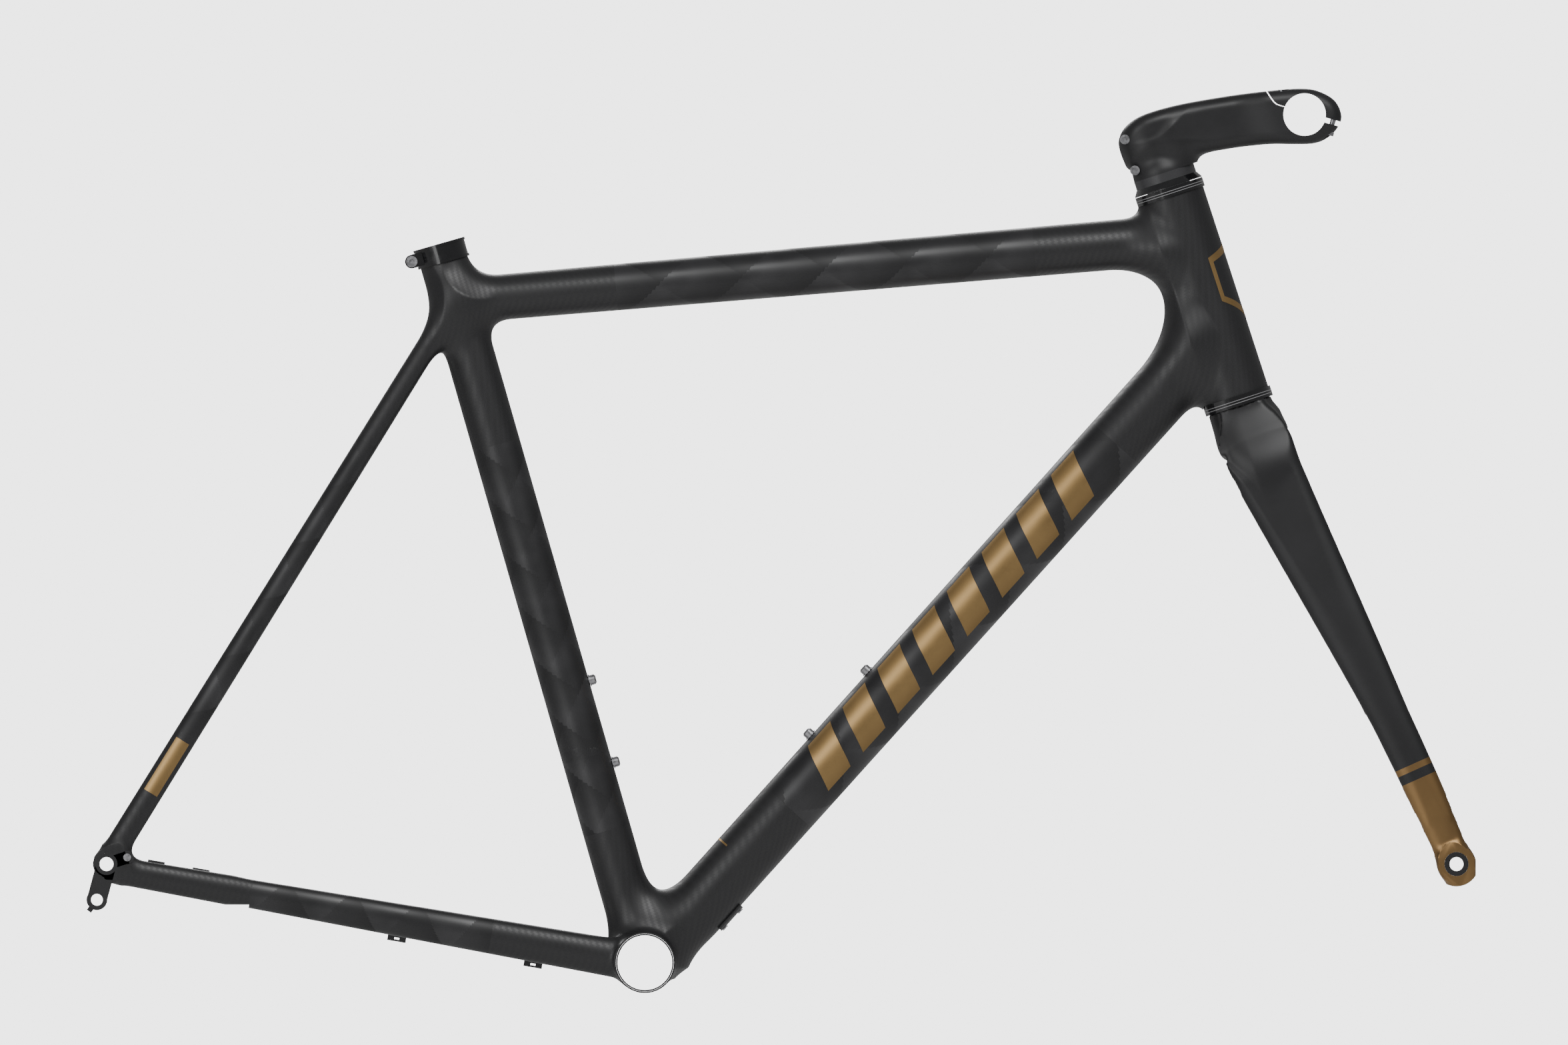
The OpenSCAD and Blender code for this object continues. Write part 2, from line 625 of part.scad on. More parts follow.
leg_top = crown + [8.2, -23.2];
leg_line = norm(front_axle - leg_top);
leg_slope = slope(leg_top, front_axle);
fork_tip_y = front_hub / 2 + 6.5;
leg_cuts = [0.1, 0.88];
leg_bow = 19.5;

function leg_pt(t) = leg_top + t * (front_axle - leg_top) - leg_bow * t ^ 2 * (1 - t) * normal(leg_slope);
function leg_half(t) = t < 0.66 ? 27.4 - 19 * t : 14.86 - 5.5 * (t - 0.66);
function leg_y(t) = 31 + (fork_tip_y - 31) * sin(90 * t) ^ 1.4;
function leg_ring(t, grow = 0) = ring(
    leg_pt(t), leg_y(t), leg_slope, leg_half(t) + grow, 9.4 - 3 * t + grow
);

module fork_leg() hollow_loft(
    [for (k = [0:9]) leg_ring(leg_cuts[0] + k / 9 * (leg_cuts[1] - leg_cuts[0]))],
    [for (k = [0:9]) leg_ring(leg_cuts[0] + k / 9 * (leg_cuts[1] - leg_cuts[0]), -2.2)]
);

// Half the width and the radius of the room for the front tyre
tyre_room = 22;
arch_r = 345;
tip_r = 14.6;

module fork_crown() color(carbon) difference() {
    union() {
        both_sides() {
            hull() {
                along(head_pt(-7), head_slope) cylinder(r = 24.7, h = 7, $fn = 48);
                loft([leg_ring(0), leg_ring(0.02)]);
            }
            chain([for (t = [0, 0.05, leg_cuts[0]]) leg_ring(t)]);
            hull() loft([for (t = [leg_cuts[0] - 0.02, leg_cuts[0] + 0.04]) leg_ring(t, -2.4)]);
        }
        hull() both_sides() {
            along(head_pt(-12), head_slope) cylinder(r = 24.7, h = 12, $fn = 48);
            translate(xyz(leg_pt(0.0), 20)) sphere(12, $fn = 24);
        }
    }
    along(head_pt(steerer_foot), head_slope) cylinder(r = clear_r(steerer_r, 48), h = 60);
    along(head_pt(-60), head_slope) cylinder(r = 11, h = 60);
    across(front_axle, -tyre_room) cylinder(r = arch_r, h = 2 * tyre_room, $fn = 96);
}

// The end of a leg, flat against the hub's face
module fork_tip() difference() {
    union() {
        chain([for (t = [leg_cuts[1], 0.92, 0.955]) leg_ring(t)]);
        hull() loft([for (t = [leg_cuts[1] - 0.04, leg_cuts[1] + 0.01]) leg_ring(t, -2.35)]);
        hull() {
            loft([leg_ring(0.93), leg_ring(0.955)]);
            across(front_axle, front_hub / 2) cylinder(r = tip_r, h = 12, $fn = 48);
        }
    }
    across(front_axle, 0) cylinder(r = 60, h = front_hub / 2);
    across(front_axle, 0) cylinder(r = clear_r(9, 48), h = front_hub);
}

module fork_leg_left() color(carbon) difference() {
    fork_leg();
    at_fork_mounts() translate([0, 0, -insert_depth - 1]) cylinder(r = 4.3, h = 20);
}
module fork_leg_right() color(carbon) mirror([0, 1, 0]) fork_leg();
module fork_tip_left() color(gold_paint) fork_tip();
module fork_tip_right() color(gold_paint) mirror([0, 1, 0]) fork_tip();

module axle_bush(r) difference() {
    cylinder(r = 9, h = 12);
    translate([0, 0, -1]) cylinder(r = r, h = 14);
}

// The right bush is plain and the left one is threaded for the axle
module fork_axle_nut() color(anodised) {
    across(front_axle, front_hub / 2) axle_bush(thread_r);
    across(front_axle, -front_hub / 2 - 12) axle_bush(axle_clear_r);
}

// Places its children on the back of the left leg where the brake calliper bolts on, +Z out of the leg
module at_fork_mounts() for (t = fork_mount_at)
    along(leg_pt(t) + (leg_half(t) + 0.2) * normal(leg_slope), leg_slope - 90, leg_y(t)) children();

insert_depth = 9;
fork_mount_at = [0.62, 0.818];

module fork_brake_inserts() color(anodised) at_fork_mounts() difference() {
    translate([0, 0, -insert_depth]) cylinder(r = 4.2, h = insert_depth);
    translate([0, 0, -insert_depth - 1]) cylinder(r = 2.1, h = insert_depth + 4);
}

// ---- Stem: side outline in distance forward of the steering axis and height above the crown ----

bar = [113.9, 194];
bar_r = handlebar_d / 2;
stem_w = 46;
split_slope = -35.2;
split_gap = 0.8;
stem_base_r = 23.7;
stem_back = -26.4;
pinch_at = [[-20.1, 193.5], [-20.1, 217.9]];
stem_outline = [
    [stem_back + 3, stem_base], [stem_base_r, stem_base], [30, 188.9], [45, 188.5], [60, 185.8], [75, 183],
    [90, 178.7], [103.5, 174.2], [112, 171.6], [118.2, 171], [127, 173.5], [133, 177], [138.5, 181.5],
    [139.6, 187.7], [137.6, 197], [130, 206.4], [123.5, 211], [116.3, 213.7], [101, 217.6], [87, 220.5],
    [72, 223.4], [57, 226], [42, 228.3], [27, 230.1], [12, 231.3], [-4, 231.2], [-12, 229], [-20, 224.5],
    [stem_back, 219], [stem_back, 200]
];

module on_stem(p) along(head_pt(0), head_slope) translate([p[0], 0, p[1]]) children();
module off_split(d, y) on_stem(bar) rotate([0, -split_slope, 0]) translate([d, y, 0]) children();

module stem_shell() intersection() {
    on_stem([0, 0]) rotate([90, 0, 0]) linear_extrude(stem_w, center = true) polygon(stem_outline);
    on_stem([0, stem_base - 20]) union() {
        translate([stem_back + stem_base_r + 2.4, 0, 0]) cylinder(r = stem_base_r, h = 80);
        linear_extrude(80) polygon([
            [-6, -22], [30, -19], [62, -18.5], [88, -stem_w / 2], [150, -stem_w / 2],
            [150, stem_w / 2], [88, stem_w / 2], [62, 18.5], [30, 19], [-6, 22]
        ]);
    }
}

module above_split(lift) off_split(0, 0) translate([-90, -40, lift]) cube([180, 80, 80]);

rear_bolt = -38;
front_bolt = 21.8;
faceplate_y = 15;

module stem_body() color(anodised) difference() {
    stem_shell();
    above_split(0);
    on_stem([0, stem_base - 1]) cylinder(r = steerer_r, h = steerer_top - stem_base + 1);
    on_stem([0, steerer_top - 0.01]) cylinder(r = 15.6, h = 20);
    on_stem(bar) rotate([90, 0, 0]) cylinder(r = bar_r, h = 80, center = true);
    on_stem([stem_back - 5, stem_base - 1]) translate([0, -0.75, 0]) cube([-stem_back - 8, 1.5, 60]);
    for (p = pinch_at) on_stem(p) rotate([90, 0, 0]) {
        cylinder(r = m5_r, h = 80, center = true);
        translate([0, 0, 12]) cylinder(r = 3.7, h = 20);
        translate([0, 0, -32]) cylinder(r = 3.7, h = 20);
    }
    for (y = [-faceplate_y, faceplate_y]) {
        off_split(rear_bolt, y) translate([0, 0, -14]) cylinder(r = 2, h = 20);
        off_split(front_bolt, y) translate([0, 0, -20]) cylinder(r = 2, h = 30);
        off_split(front_bolt, y) translate([0, 0, -40]) cylinder(r = 3.6, h = 33.5);
    }
}

module stem_faceplate() color(anodised) difference() {
    intersection() {
        stem_shell();
        above_split(split_gap);
    }
    on_stem(bar) rotate([90, 0, 0]) cylinder(r = bar_r, h = 80, center = true);
    for (y = [-faceplate_y, faceplate_y]) {
        off_split(rear_bolt, y) cylinder(r = 2, h = 20);
        off_split(rear_bolt, y) translate([0, 0, 2.2]) cylinder(r = 3.6, h = 20);
        off_split(front_bolt, y) cylinder(r = 2, h = 9);
    }
}

module m4_bolt(long) difference() {
    union() {
        translate([0, 0, -long]) cylinder(r = 2, h = long + 0.5);
        cylinder(r = 3.5, h = 3);
    }
    translate([0, 0, 1.2]) cylinder(r = 1.7, h = 3, $fn = 6);
}

module faceplate_top_bolts() color(silver) for (y = [-faceplate_y, faceplate_y])
    off_split(rear_bolt, y) translate([0, 0, 2.2]) m4_bolt(15);

module faceplate_front_bolts() color(silver) for (y = [-faceplate_y, faceplate_y])
    off_split(front_bolt, y) rotate([180, 0, 0]) translate([0, 0, 6.5]) m4_bolt(15);

module stem_pinch_bolts() color(silver) for (p = pinch_at) on_stem(p) rotate([90, 0, 0]) difference() {
    union() {
        translate([0, 0, -12]) cylinder(r = m5_r, h = 24.5);
        translate([0, 0, 12]) cylinder(r = 3.65, h = 4);
    }
    translate([0, 0, 14]) cylinder(r = 2.3, h = 4, $fn = 6);
}

module stem_pinch_nuts() color(silver) for (p = pinch_at) on_stem(p) rotate([90, 0, 0])
    translate([0, 0, -16]) cylinder(r = 3.65, h = 4);

module stem_top_cap() color(anodised) on_stem([0, steerer_top]) difference() {
    cylinder(r = 15.5, h = 5);
    translate([0, 0, -1]) cylinder(r = 3.1, h = 8);
    translate([0, 0, 2]) cylinder(r = 5.2, h = 8);
}

module expander_plug() color(anodised) on_stem([0, 190]) difference() {
    cylinder(r = steerer_r - steerer_wall, h = 30);
    translate([0, 0, -1]) cylinder(r = 3, h = 40);
}

module preload_bolt() color(silver) on_stem([0, 194]) difference() {
    union() {
        cylinder(r = 3, h = steerer_top + 2 - 194 + 0.2);
        translate([0, 0, steerer_top + 2 - 194]) cylinder(r = 5, h = 2.6);
    }
    translate([0, 0, steerer_top + 3.2 - 194]) cylinder(r = 2.3, h = 3, $fn = 6);
}

head_lug();
seat_lug();
bb_lug();
rear_dropout_right();
rear_dropout_left();
top_tube();
down_tube();
seat_tube();
chainstay_right();
chainstay_left();
seatstay_right();
seatstay_left();
bb_sleeve();
seatpost_sleeve();
seat_clamp();
seat_clamp_bolt();
seat_clamp_nut();
derailleur_hanger();
hanger_screw();
rear_axle_insert();
bottle_inserts();
bottle_screws();
cable_guides();
port_cover();
port_cover_screws();
brake_mount_pads();
upper_cup();
lower_cup();
upper_outer_race();
lower_outer_race();
upper_balls();
lower_balls();
upper_inner_race();
lower_inner_race();
crown_race();
compression_ring();
bearing_cover();
headset_spacer();
steerer();
fork_crown();
fork_leg_right();
fork_leg_left();
fork_tip_right();
fork_tip_left();
fork_axle_nut();
fork_brake_inserts();
stem_body();
stem_faceplate();
faceplate_top_bolts();
faceplate_front_bolts();
stem_pinch_bolts();
stem_pinch_nuts();
stem_top_cap();
expander_plug();
preload_bolt();
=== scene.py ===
"""Looks of the bicycle frameset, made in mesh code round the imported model.

Lengths are in millimetres up to make_object, which turns them into metres."""

import json
import math

import bmesh
import bpy
import numpy as np
from mathutils import Matrix, Vector

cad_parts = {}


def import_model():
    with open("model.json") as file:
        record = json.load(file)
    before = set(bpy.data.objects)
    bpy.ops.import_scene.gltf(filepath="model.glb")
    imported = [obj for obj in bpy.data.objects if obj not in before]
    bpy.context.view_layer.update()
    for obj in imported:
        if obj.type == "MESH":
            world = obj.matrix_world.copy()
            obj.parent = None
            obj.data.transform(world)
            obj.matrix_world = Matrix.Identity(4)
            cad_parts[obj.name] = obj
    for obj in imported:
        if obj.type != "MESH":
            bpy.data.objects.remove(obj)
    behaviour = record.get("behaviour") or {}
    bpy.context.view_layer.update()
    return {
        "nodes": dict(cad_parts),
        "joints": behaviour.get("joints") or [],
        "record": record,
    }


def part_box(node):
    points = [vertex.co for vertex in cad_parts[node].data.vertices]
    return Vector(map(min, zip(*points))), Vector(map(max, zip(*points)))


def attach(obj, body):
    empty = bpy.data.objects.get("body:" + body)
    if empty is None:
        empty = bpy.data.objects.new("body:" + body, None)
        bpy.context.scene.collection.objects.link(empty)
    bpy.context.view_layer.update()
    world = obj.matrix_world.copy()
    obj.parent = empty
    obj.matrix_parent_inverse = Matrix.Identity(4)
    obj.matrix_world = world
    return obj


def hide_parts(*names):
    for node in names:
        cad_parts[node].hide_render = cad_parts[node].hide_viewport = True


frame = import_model()

MM = 0.001
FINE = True


# ---- Where things are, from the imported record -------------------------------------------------

def side(point):
    """X and Z of a point in metres, in millimetres."""
    return np.array([point[0], point[2]], float) / MM


def unit(v):
    return np.asarray(v, float) / np.linalg.norm(v)


def left_of(h):
    """The direction a quarter turn left of h in the side view."""
    return np.array([-h[1], h[0]])


def size_mm(node, axis):
    low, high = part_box(node)
    return (high[axis] - low[axis]) / MM


MOUNT = {m["name"]: m for m in frame["record"]["mounts"]}
STEER = next(j for j in frame["joints"] if j["name"] == "steering")
CROWN = side(STEER["pos_m"])
STEER_UP = unit([STEER["axis"][0], STEER["axis"][2]])
STEER_FORE = -left_of(STEER_UP)
SEAT_UP = unit([MOUNT["seatpost"]["axis"][0], MOUNT["seatpost"]["axis"][2]])
REAR = side(MOUNT["rear_axle_left"]["pos_m"])
FRONT = side(MOUNT["front_axle_right"]["pos_m"])
BAR = side(MOUNT["handlebar"]["pos_m"])
BAR_R = MOUNT["handlebar"]["dims"]["r_mm"]
POST_DEPTH = 100  # from the seatpost's place up to the top of the seat tube
SEAT_TOP = np.linalg.norm(side(MOUNT["seatpost"]["pos_m"])) + POST_DEPTH
SEAT_JOINT = SEAT_TOP - 44.6  # where the top tube and the seatstays meet the seat tube
STEERER_BORE_R = 14.3
BEARING_BORE_R = 22.1
POST_BORE_R = 16.9
SIDEWAYS = (0, 1, 0)
BB_R = size_mm("bb_sleeve", 0) / 2 + 1.2
BB_W = size_mm("bb_sleeve", 1)
REAR_PLATE = MOUNT["rear_axle_left"]["pos_m"][1] / MM
FORK_PLATE = -MOUNT["front_axle_right"]["pos_m"][1] / MM
HEAD_R = size_mm("head_lug", 1) / 2
SEAT_R = size_mm("seat_tube", 1) / 2
STEM_W = size_mm("stem_body", 1)


def head_pt(s, f=0):
    """The point s above the crown along the steering axis and f forward of it."""
    return CROWN + s * STEER_UP + f * STEER_FORE


def seat_pt(t):
    return t * SEAT_UP


class Line:
    """A straight centre line in the side view, with distances d along it and e to its left."""

    def __init__(self, start, end):
        self.start = np.asarray(start, float)
        self.length = np.linalg.norm(np.asarray(end) - self.start)
        self.along = unit(np.asarray(end) - self.start)
        self.up = left_of(self.along)

    def at(self, d, e=0):
        return self.start + d * self.along + e * self.up

    def split(self, p):
        x = p[..., 0] - self.start[0]
        z = p[..., 2] - self.start[1]
        return x * self.along[0] + z * self.along[1], x * self.up[0] + z * self.up[1]


TOP = Line(seat_pt(SEAT_JOINT), head_pt(133))
DOWN = Line((2.6, 0), head_pt(59.6))
SEAT = Line((0, 0), seat_pt(SEAT_TOP))
STAY_UP = Line(seat_pt(SEAT_JOINT), REAR)
STAY_LOW = Line((0, -0.5), REAR - (0, 3.3))
HEAD = Line(head_pt(0), head_pt(180))
LEG = Line(CROWN + (8.2, -23.2), FRONT)

# Stations where the wound tubes start and end, as the model has them
TOP_SPAN = (121, 436)
DOWN_SPAN = (157, 524)
SEAT_SPAN = (103, 404)
STAY_UP_SPAN = (125, 384)
STAY_LOW_SPAN = (117, 300)
HEAD_SPAN = (9, 166.4)
CROWN_TOP = 1.4


def top_r(d):
    return 17.4 + 0.0037 * (d - TOP_SPAN[0])


def down_r(d):
    return 23.1 + 0.0012 * (d - DOWN_SPAN[0])


def stay_up_y(d):
    return 11 + (REAR_PLATE - 11) * d / STAY_UP.length


def stay_up_half(d):
    return 8.05 + 0.0024 * d, 7.4 - 0.002 * d


def stay_low_y(d):
    return 31 + (REAR_PLATE - 31) * np.clip(d / STAY_LOW.length, 0, 1) ** 1.6


def stay_low_half(d):
    return 14.8 - 0.0136 * d, 9.6 - 0.0085 * d


def swollen_half(d):
    """Half sizes of the chainstay's end in the dropout, which is a little fuller."""
    a, b = stay_low_half(d)
    more = 0.8 * ease(d, STAY_LOW_SPAN[1], STAY_LOW_SPAN[1] + 18)
    return a + more, b + more


def leg_shift(t):
    """How far forward the leg bows from the straight line to the axle."""
    return 19.5 * t**2 * (1 - t)


def leg_half(t):
    return np.where(t < 0.66, 27.4 - 19 * t, 14.86 - 5.5 * (t - 0.66))


def leg_y(t):
    return 31 + (FORK_PLATE - 31) * np.sin(np.pi / 2 * np.clip(t, 0, 1)) ** 1.4


# ---- Distance fields ---------------------------------------------------------------------------

def oval(up, across, a, b):
    """Distance from an ellipse of half sizes a and b."""
    near = np.sqrt((up / a) ** 2 + (across / b) ** 2)
    slope = np.sqrt((up / a**2) ** 2 + (across / b**2) ** 2)
    return near * (near - 1) / np.maximum(slope, 1e-6)


def blend(a, b, k):
    """The union of two fields with a fillet of about k."""
    h = np.maximum(k - np.abs(a - b), 0) / k
    return np.minimum(a, b) - h * h * k / 4


def carve(a, b, k):
    """Field a without field b, with the edge rounded by about k."""
    return -blend(-a, b, k)


def ease(x, low, high):
    """A smooth step from 0 at low to 1 at high."""
    t = np.clip((x - low) / (high - low), 0, 1)
    return t * t * (3 - 2 * t)


def between(d, low, high):
    """Negative between two distances along a line."""
    return np.maximum(low - d, d - high)


def rod(p, line, radius, low, high):
    """A round tube along a line."""
    d, e = line.split(p)
    r = radius(d) if callable(radius) else radius
    return np.maximum(np.hypot(e, p[..., 1]) - r, between(d, low, high))


def stay(p, line, centre, half, low, high):
    """A pair of oval tubes, one on either side of the middle."""
    d, e = line.split(p)
    a, b = half(d)
    return np.maximum(oval(e, np.abs(p[..., 1]) - centre(d), a, b), between(d, low, high))


def head_field(p):
    """The head tube with the ends of the top and down tubes run into it."""
    post = rod(p, HEAD, HEAD_R, -4, 180)
    top = rod(p, TOP, top_r, 300, TOP.length)
    down = rod(p, DOWN, down_r, 300, DOWN.length)
    behind = np.clip((HEAD.split(p)[1] + 4) / 24, 0.04, 1)
    below = 0.5 - 0.5 * np.tanh(TOP.split(p)[1] / 9)
    above = 0.5 + 0.5 * np.tanh(DOWN.split(p)[1] / 9)
    shell = blend(post, top, (15 + 23 * below) * behind)
    return blend(shell, down, (19 + 21 * above) * behind)


def seat_field(p):
    """The seat tube's top with the top tube and the seatstays."""
    post = rod(p, SEAT, SEAT_R, 300, SEAT_TOP + 20)
    top = rod(p, TOP, top_r, 0, 200)
    stays = stay(p, STAY_UP, stay_up_y, stay_up_half, 0, 200)
    above = 0.5 + 0.5 * np.tanh(TOP.split(p)[1] / 9)
    return blend(blend(post, top, 19 + above), stays, 20)


def bb_field(p):
    """The bottom bracket shell with four tubes run into it."""
    shell = np.maximum(np.hypot(p[..., 0], p[..., 2]) - BB_R, np.abs(p[..., 1]) - BB_W / 2 - 3)
    down = rod(p, DOWN, lambda d: down_r(d) - 2.4 * (1 - ease(d, 8, 55)), 6, 260)
    post = rod(p, SEAT, SEAT_R, 0, 220)
    stays = stay(p, STAY_LOW, stay_low_y, stay_low_half, 0, 200)
    tubes = blend(down, post, 31)
    return blend(blend(tubes, stays, 20), shell, 5)


REAR_TIP_R = 10.2
REAR_TIP_HALF = 4.5  # half the tip's thickness


def dropout_field(p):
    """The left and right ends where the stays meet at the axle."""
    high = stay(p, STAY_UP, stay_up_y, stay_up_half, 300, STAY_UP.length - 1)
    low = stay(p, STAY_LOW, stay_low_y, swollen_half, 200, STAY_LOW.length - 1)
    reach = np.hypot(p[..., 0] - REAR[0], p[..., 2] - REAR[1])
    plate = np.maximum(reach - REAR_TIP_R, np.abs(np.abs(p[..., 1]) - REAR_PLATE) - REAR_TIP_HALF)
    return blend(blend(high, low, 15), plate, 3)


FORK_TIP_R = 14.6
FORK_TIP_HALF = 6
FORK_TIP_FRONT = 14.5  # how far the tips reach ahead of the axle
ARCH_R = 345  # room for the tyre
ARCH_HALF = 21.5
BRIDGE_HALF = (23, 31.5, 17)  # half sizes of the swelling under the crown
LEG_HALF_Y = 9.4
SHOULDER = 24.5


def fork_field(p):
    """The fork's crown, legs and tips in one moulding."""
    d, e = LEG.split(p)
    t = d / LEG.length
    half_y = LEG_HALF_Y - 3 * np.clip(t, 0, 1)
    legs = oval(e - leg_shift(t), np.abs(p[..., 1]) - leg_y(t), leg_half(t), half_y)
    legs = np.maximum(legs, between(t, -0.02, 0.985))
    s, back = HEAD.split(p)
    swell = ease(-s, 0, 12)
    neck_r = 24.4 + 1.9 * swell - 8 * ease(-s, 24, 64)
    width = 1 + 0.22 * ease(-s, 1, 22)
    neck = np.maximum(np.hypot(back + 1.6 * swell, p[..., 1] / width) - neck_r, between(s, -60, 2))
    middle = LEG.at(4)
    half_x, half_y, half_z = BRIDGE_HALF
    bridge = np.sqrt(((p[..., 0] - middle[0]) / half_x) ** 2 + ((p[..., 2] - middle[1]) / half_z) ** 2
                     + (p[..., 1] / half_y) ** 2) - 1
    behind = np.clip(1 - (back - 4) / 30, 0.5, 1)
    crown = blend(blend(neck, bridge * 16, 14 * behind), legs, 16 * behind)
    reach = np.hypot(p[..., 0] - FRONT[0], p[..., 2] - FRONT[1])
    arch = np.maximum(reach - ARCH_R, np.abs(p[..., 1]) - ARCH_HALF)
    crown = carve(crown, arch, 10)
    shoulder = SHOULDER + (leg_y(t) - 13.1) * ease(-s, -2, 56)
    crown = carve(crown, shoulder - np.abs(p[..., 1]), 7)
    tip = np.maximum(reach - FORK_TIP_R, np.abs(np.abs(p[..., 1]) - FORK_PLATE) - FORK_TIP_HALF)
    shell = np.maximum(blend(crown, tip, 3), p[..., 0] - FRONT[0] - FORK_TIP_FRONT)
    return np.maximum(shell, s - CROWN_TOP)


# ---- From a field to a mesh -------------------------------------------------------------------

def surface_net(field, low, high, step):
    """Points and quads where the field is zero, one point in each cell that it crosses."""
    axes = [np.arange(low[i], high[i] + step, step) for i in range(3)]
    value = field(np.stack(np.meshgrid(*axes, indexing="ij"), -1))
    inside = value < 0
    shape = np.array(value.shape) - 1
    corners = sum(
        inside[i:i + shape[0], j:j + shape[1], k:k + shape[2]].astype(np.int8)
        for i in (0, 1) for j in (0, 1) for k in (0, 1)
    )
    crossed = (corners > 0) & (corners < 8)
    cells = np.argwhere(crossed)
    index = np.full(shape, -1)
    index[crossed] = np.arange(len(cells))
    total = np.zeros((len(cells), 3))
    number = np.zeros(len(cells))
    for axis in range(3):
        u, v = (axis + 1) % 3, (axis + 2) % 3
        for j in (0, 1):
            for k in (0, 1):
                start = cells.copy()
                start[:, u] += j
                start[:, v] += k
                end = start.copy()
                end[:, axis] += 1
                a, b = value[tuple(start.T)], value[tuple(end.T)]
                hit = (a < 0) != (b < 0)
                point = start.astype(float)
                point[:, axis] += np.where(hit, a / np.where(hit, a - b, 1), 0)
                total[hit] += point[hit]
                number[hit] += 1
    points = np.array(low) + step * total / number[:, None]
    return points, net_quads(inside, index)


def net_quads(inside, index):
    quads = []
    for axis in range(3):
        u, v = (axis + 1) % 3, (axis + 2) % 3
        below = [slice(1, -1)] * 3
        above = [slice(1, -1)] * 3
        below[axis], above[axis] = slice(0, -1), slice(1, None)
        change = inside[tuple(below)] != inside[tuple(above)]
        g = np.argwhere(change)
        g[:, u] += 1
        g[:, v] += 1
        eu, ev = np.eye(3, dtype=int)[u], np.eye(3, dtype=int)[v]
        ring = [index[tuple(c.T)] for c in (g, g - eu, g - eu - ev, g - ev)]
        quad = np.stack(ring, 1)
        outward = inside[tuple(g.T)]
        quad[~outward] = quad[~outward][:, ::-1]
        quads.append(quad)
    return np.vstack(quads)


def settle(points, field, limit, rounds=3):
    """Moves points onto the zero of the field."""
    e = 0.25
    for _ in range(rounds):
        slope = np.stack([
            (field(points + e * axis) - field(points - e * axis)) / (2 * e) for axis in np.eye(3)
        ], -1)
        steep = np.maximum((slope**2).sum(-1), 0.05)
        move = -(field(points) / steep)[:, None] * slope
        reach = np.maximum(np.linalg.norm(move, axis=1), 1e-9)
        points = points + move * np.minimum(1, limit / reach)[:, None]
    return points


def relax(points, quads, field, limit, rounds=4):
    """Spreads the points evenly: each goes to the middle of its neighbours, then back to the surface."""
    quads = np.asarray(quads)
    start, end = quads.ravel(), np.roll(quads, -1, 1).ravel()
    both, other = np.concatenate([start, end]), np.concatenate([end, start])
    count = np.bincount(both, minlength=len(points))[:, None]
    for _ in range(rounds):
        total = [np.bincount(both, points[other, i], len(points)) for i in range(3)]
        points = settle(np.stack(total, -1) / count, field, limit, 1)
    return settle(points, field, limit)


def make_object(name, points, faces):
    mesh = bpy.data.meshes.new(name)
    mesh.from_pydata((np.asarray(points) * MM).tolist(), [], [list(map(int, f)) for f in faces])
    mesh.validate()
    mesh.update()
    obj = bpy.data.objects.new(name, mesh)
    bpy.context.scene.collection.objects.link(obj)
    return obj


def moulded(name, field, low, high, step):
    """A piece whose surface is where the field is zero, closed by flat ends just inside its box."""
    step = step if FINE else step * 1.6
    middle = (np.array(low) + high) / 2
    reach = (np.array(high) - low) / 2 - 1.3 * step

    def closed(p):
        return np.maximum(field(p), (np.abs(p - middle) - reach).max(-1))

    points, quads = surface_net(closed, low, high, step)
    points = settle(points, closed, step * 0.6)
    return make_object(name, relax(points, quads, closed, step * 0.6), quads)


# Grid steps of the mouldings
LUG_STEP = 1.5
DROPOUT_STEP = 1.2
FORK_STEP = 1.6
STEM_STEP = 1.0


# ---- Cutting ------------------------------------------------------------------------------------

PRISM_HALF = 60  # half the width of a prism, more than any piece it cuts


def freeze(obj):
    """Makes the modifiers' result the object's own mesh."""
    graph = bpy.context.evaluated_depsgraph_get()
    mesh = bpy.data.meshes.new_from_object(obj.evaluated_get(graph))
    obj.modifiers.clear()
    obj.data = mesh


def cut(obj, tools, operation="DIFFERENCE"):
    """Takes closed tools away from the object one by one, with sharp edges."""
    for tool in tools:
        m = obj.modifiers.new("cut", "BOOLEAN")
        m.operation = operation
        m.solver = "MANIFOLD"
        m.object = tool
        freeze(obj)
        bpy.data.objects.remove(tool)
    return obj


def placed(point, y):
    return Vector((point[0] * MM, y * MM, point[1] * MM))


def turn_to(axis):
    return Vector(axis).to_track_quat("Z", "Y").to_matrix().to_4x4()


def bake_place(obj, matrix):
    obj.data.transform(matrix)
    return obj


def drill(point, y, axis, radius, low, high, sides=96):
    """A cylinder to cut with, along axis from low to high."""
    b = bmesh.new()
    bmesh.ops.create_cone(
        b, cap_ends=True, segments=sides, radius1=radius * MM, radius2=radius * MM, depth=(high - low) * MM
    )
    obj = make_object("drill", [], [])
    b.to_mesh(obj.data)
    b.free()
    centre = Matrix.Translation((0, 0, (low + high) / 2 * MM))
    return bake_place(obj, Matrix.Translation(placed(point, y)) @ turn_to(axis) @ centre)


def face_outward(obj):
    """Turns every face of a closed mesh outwards."""
    b = bmesh.new()
    b.from_mesh(obj.data)
    bmesh.ops.recalc_face_normals(b, faces=b.faces)
    b.to_mesh(obj.data)
    b.free()
    return obj


def block(line, low, high, half_up, half_y=140):
    """A box to cut with, from low to high along a line."""
    corners = []
    for d in (low, high):
        for e in (-half_up, half_up):
            for y in (-half_y, half_y):
                p = line.at(d, e)
                corners.append((p[0], y, p[1]))
    faces = [(0, 1, 3, 2), (4, 6, 7, 5), (0, 4, 5, 1), (2, 3, 7, 6), (0, 2, 6, 4), (1, 5, 7, 3)]
    obj = make_object("block", corners, faces)
    return face_outward(obj)


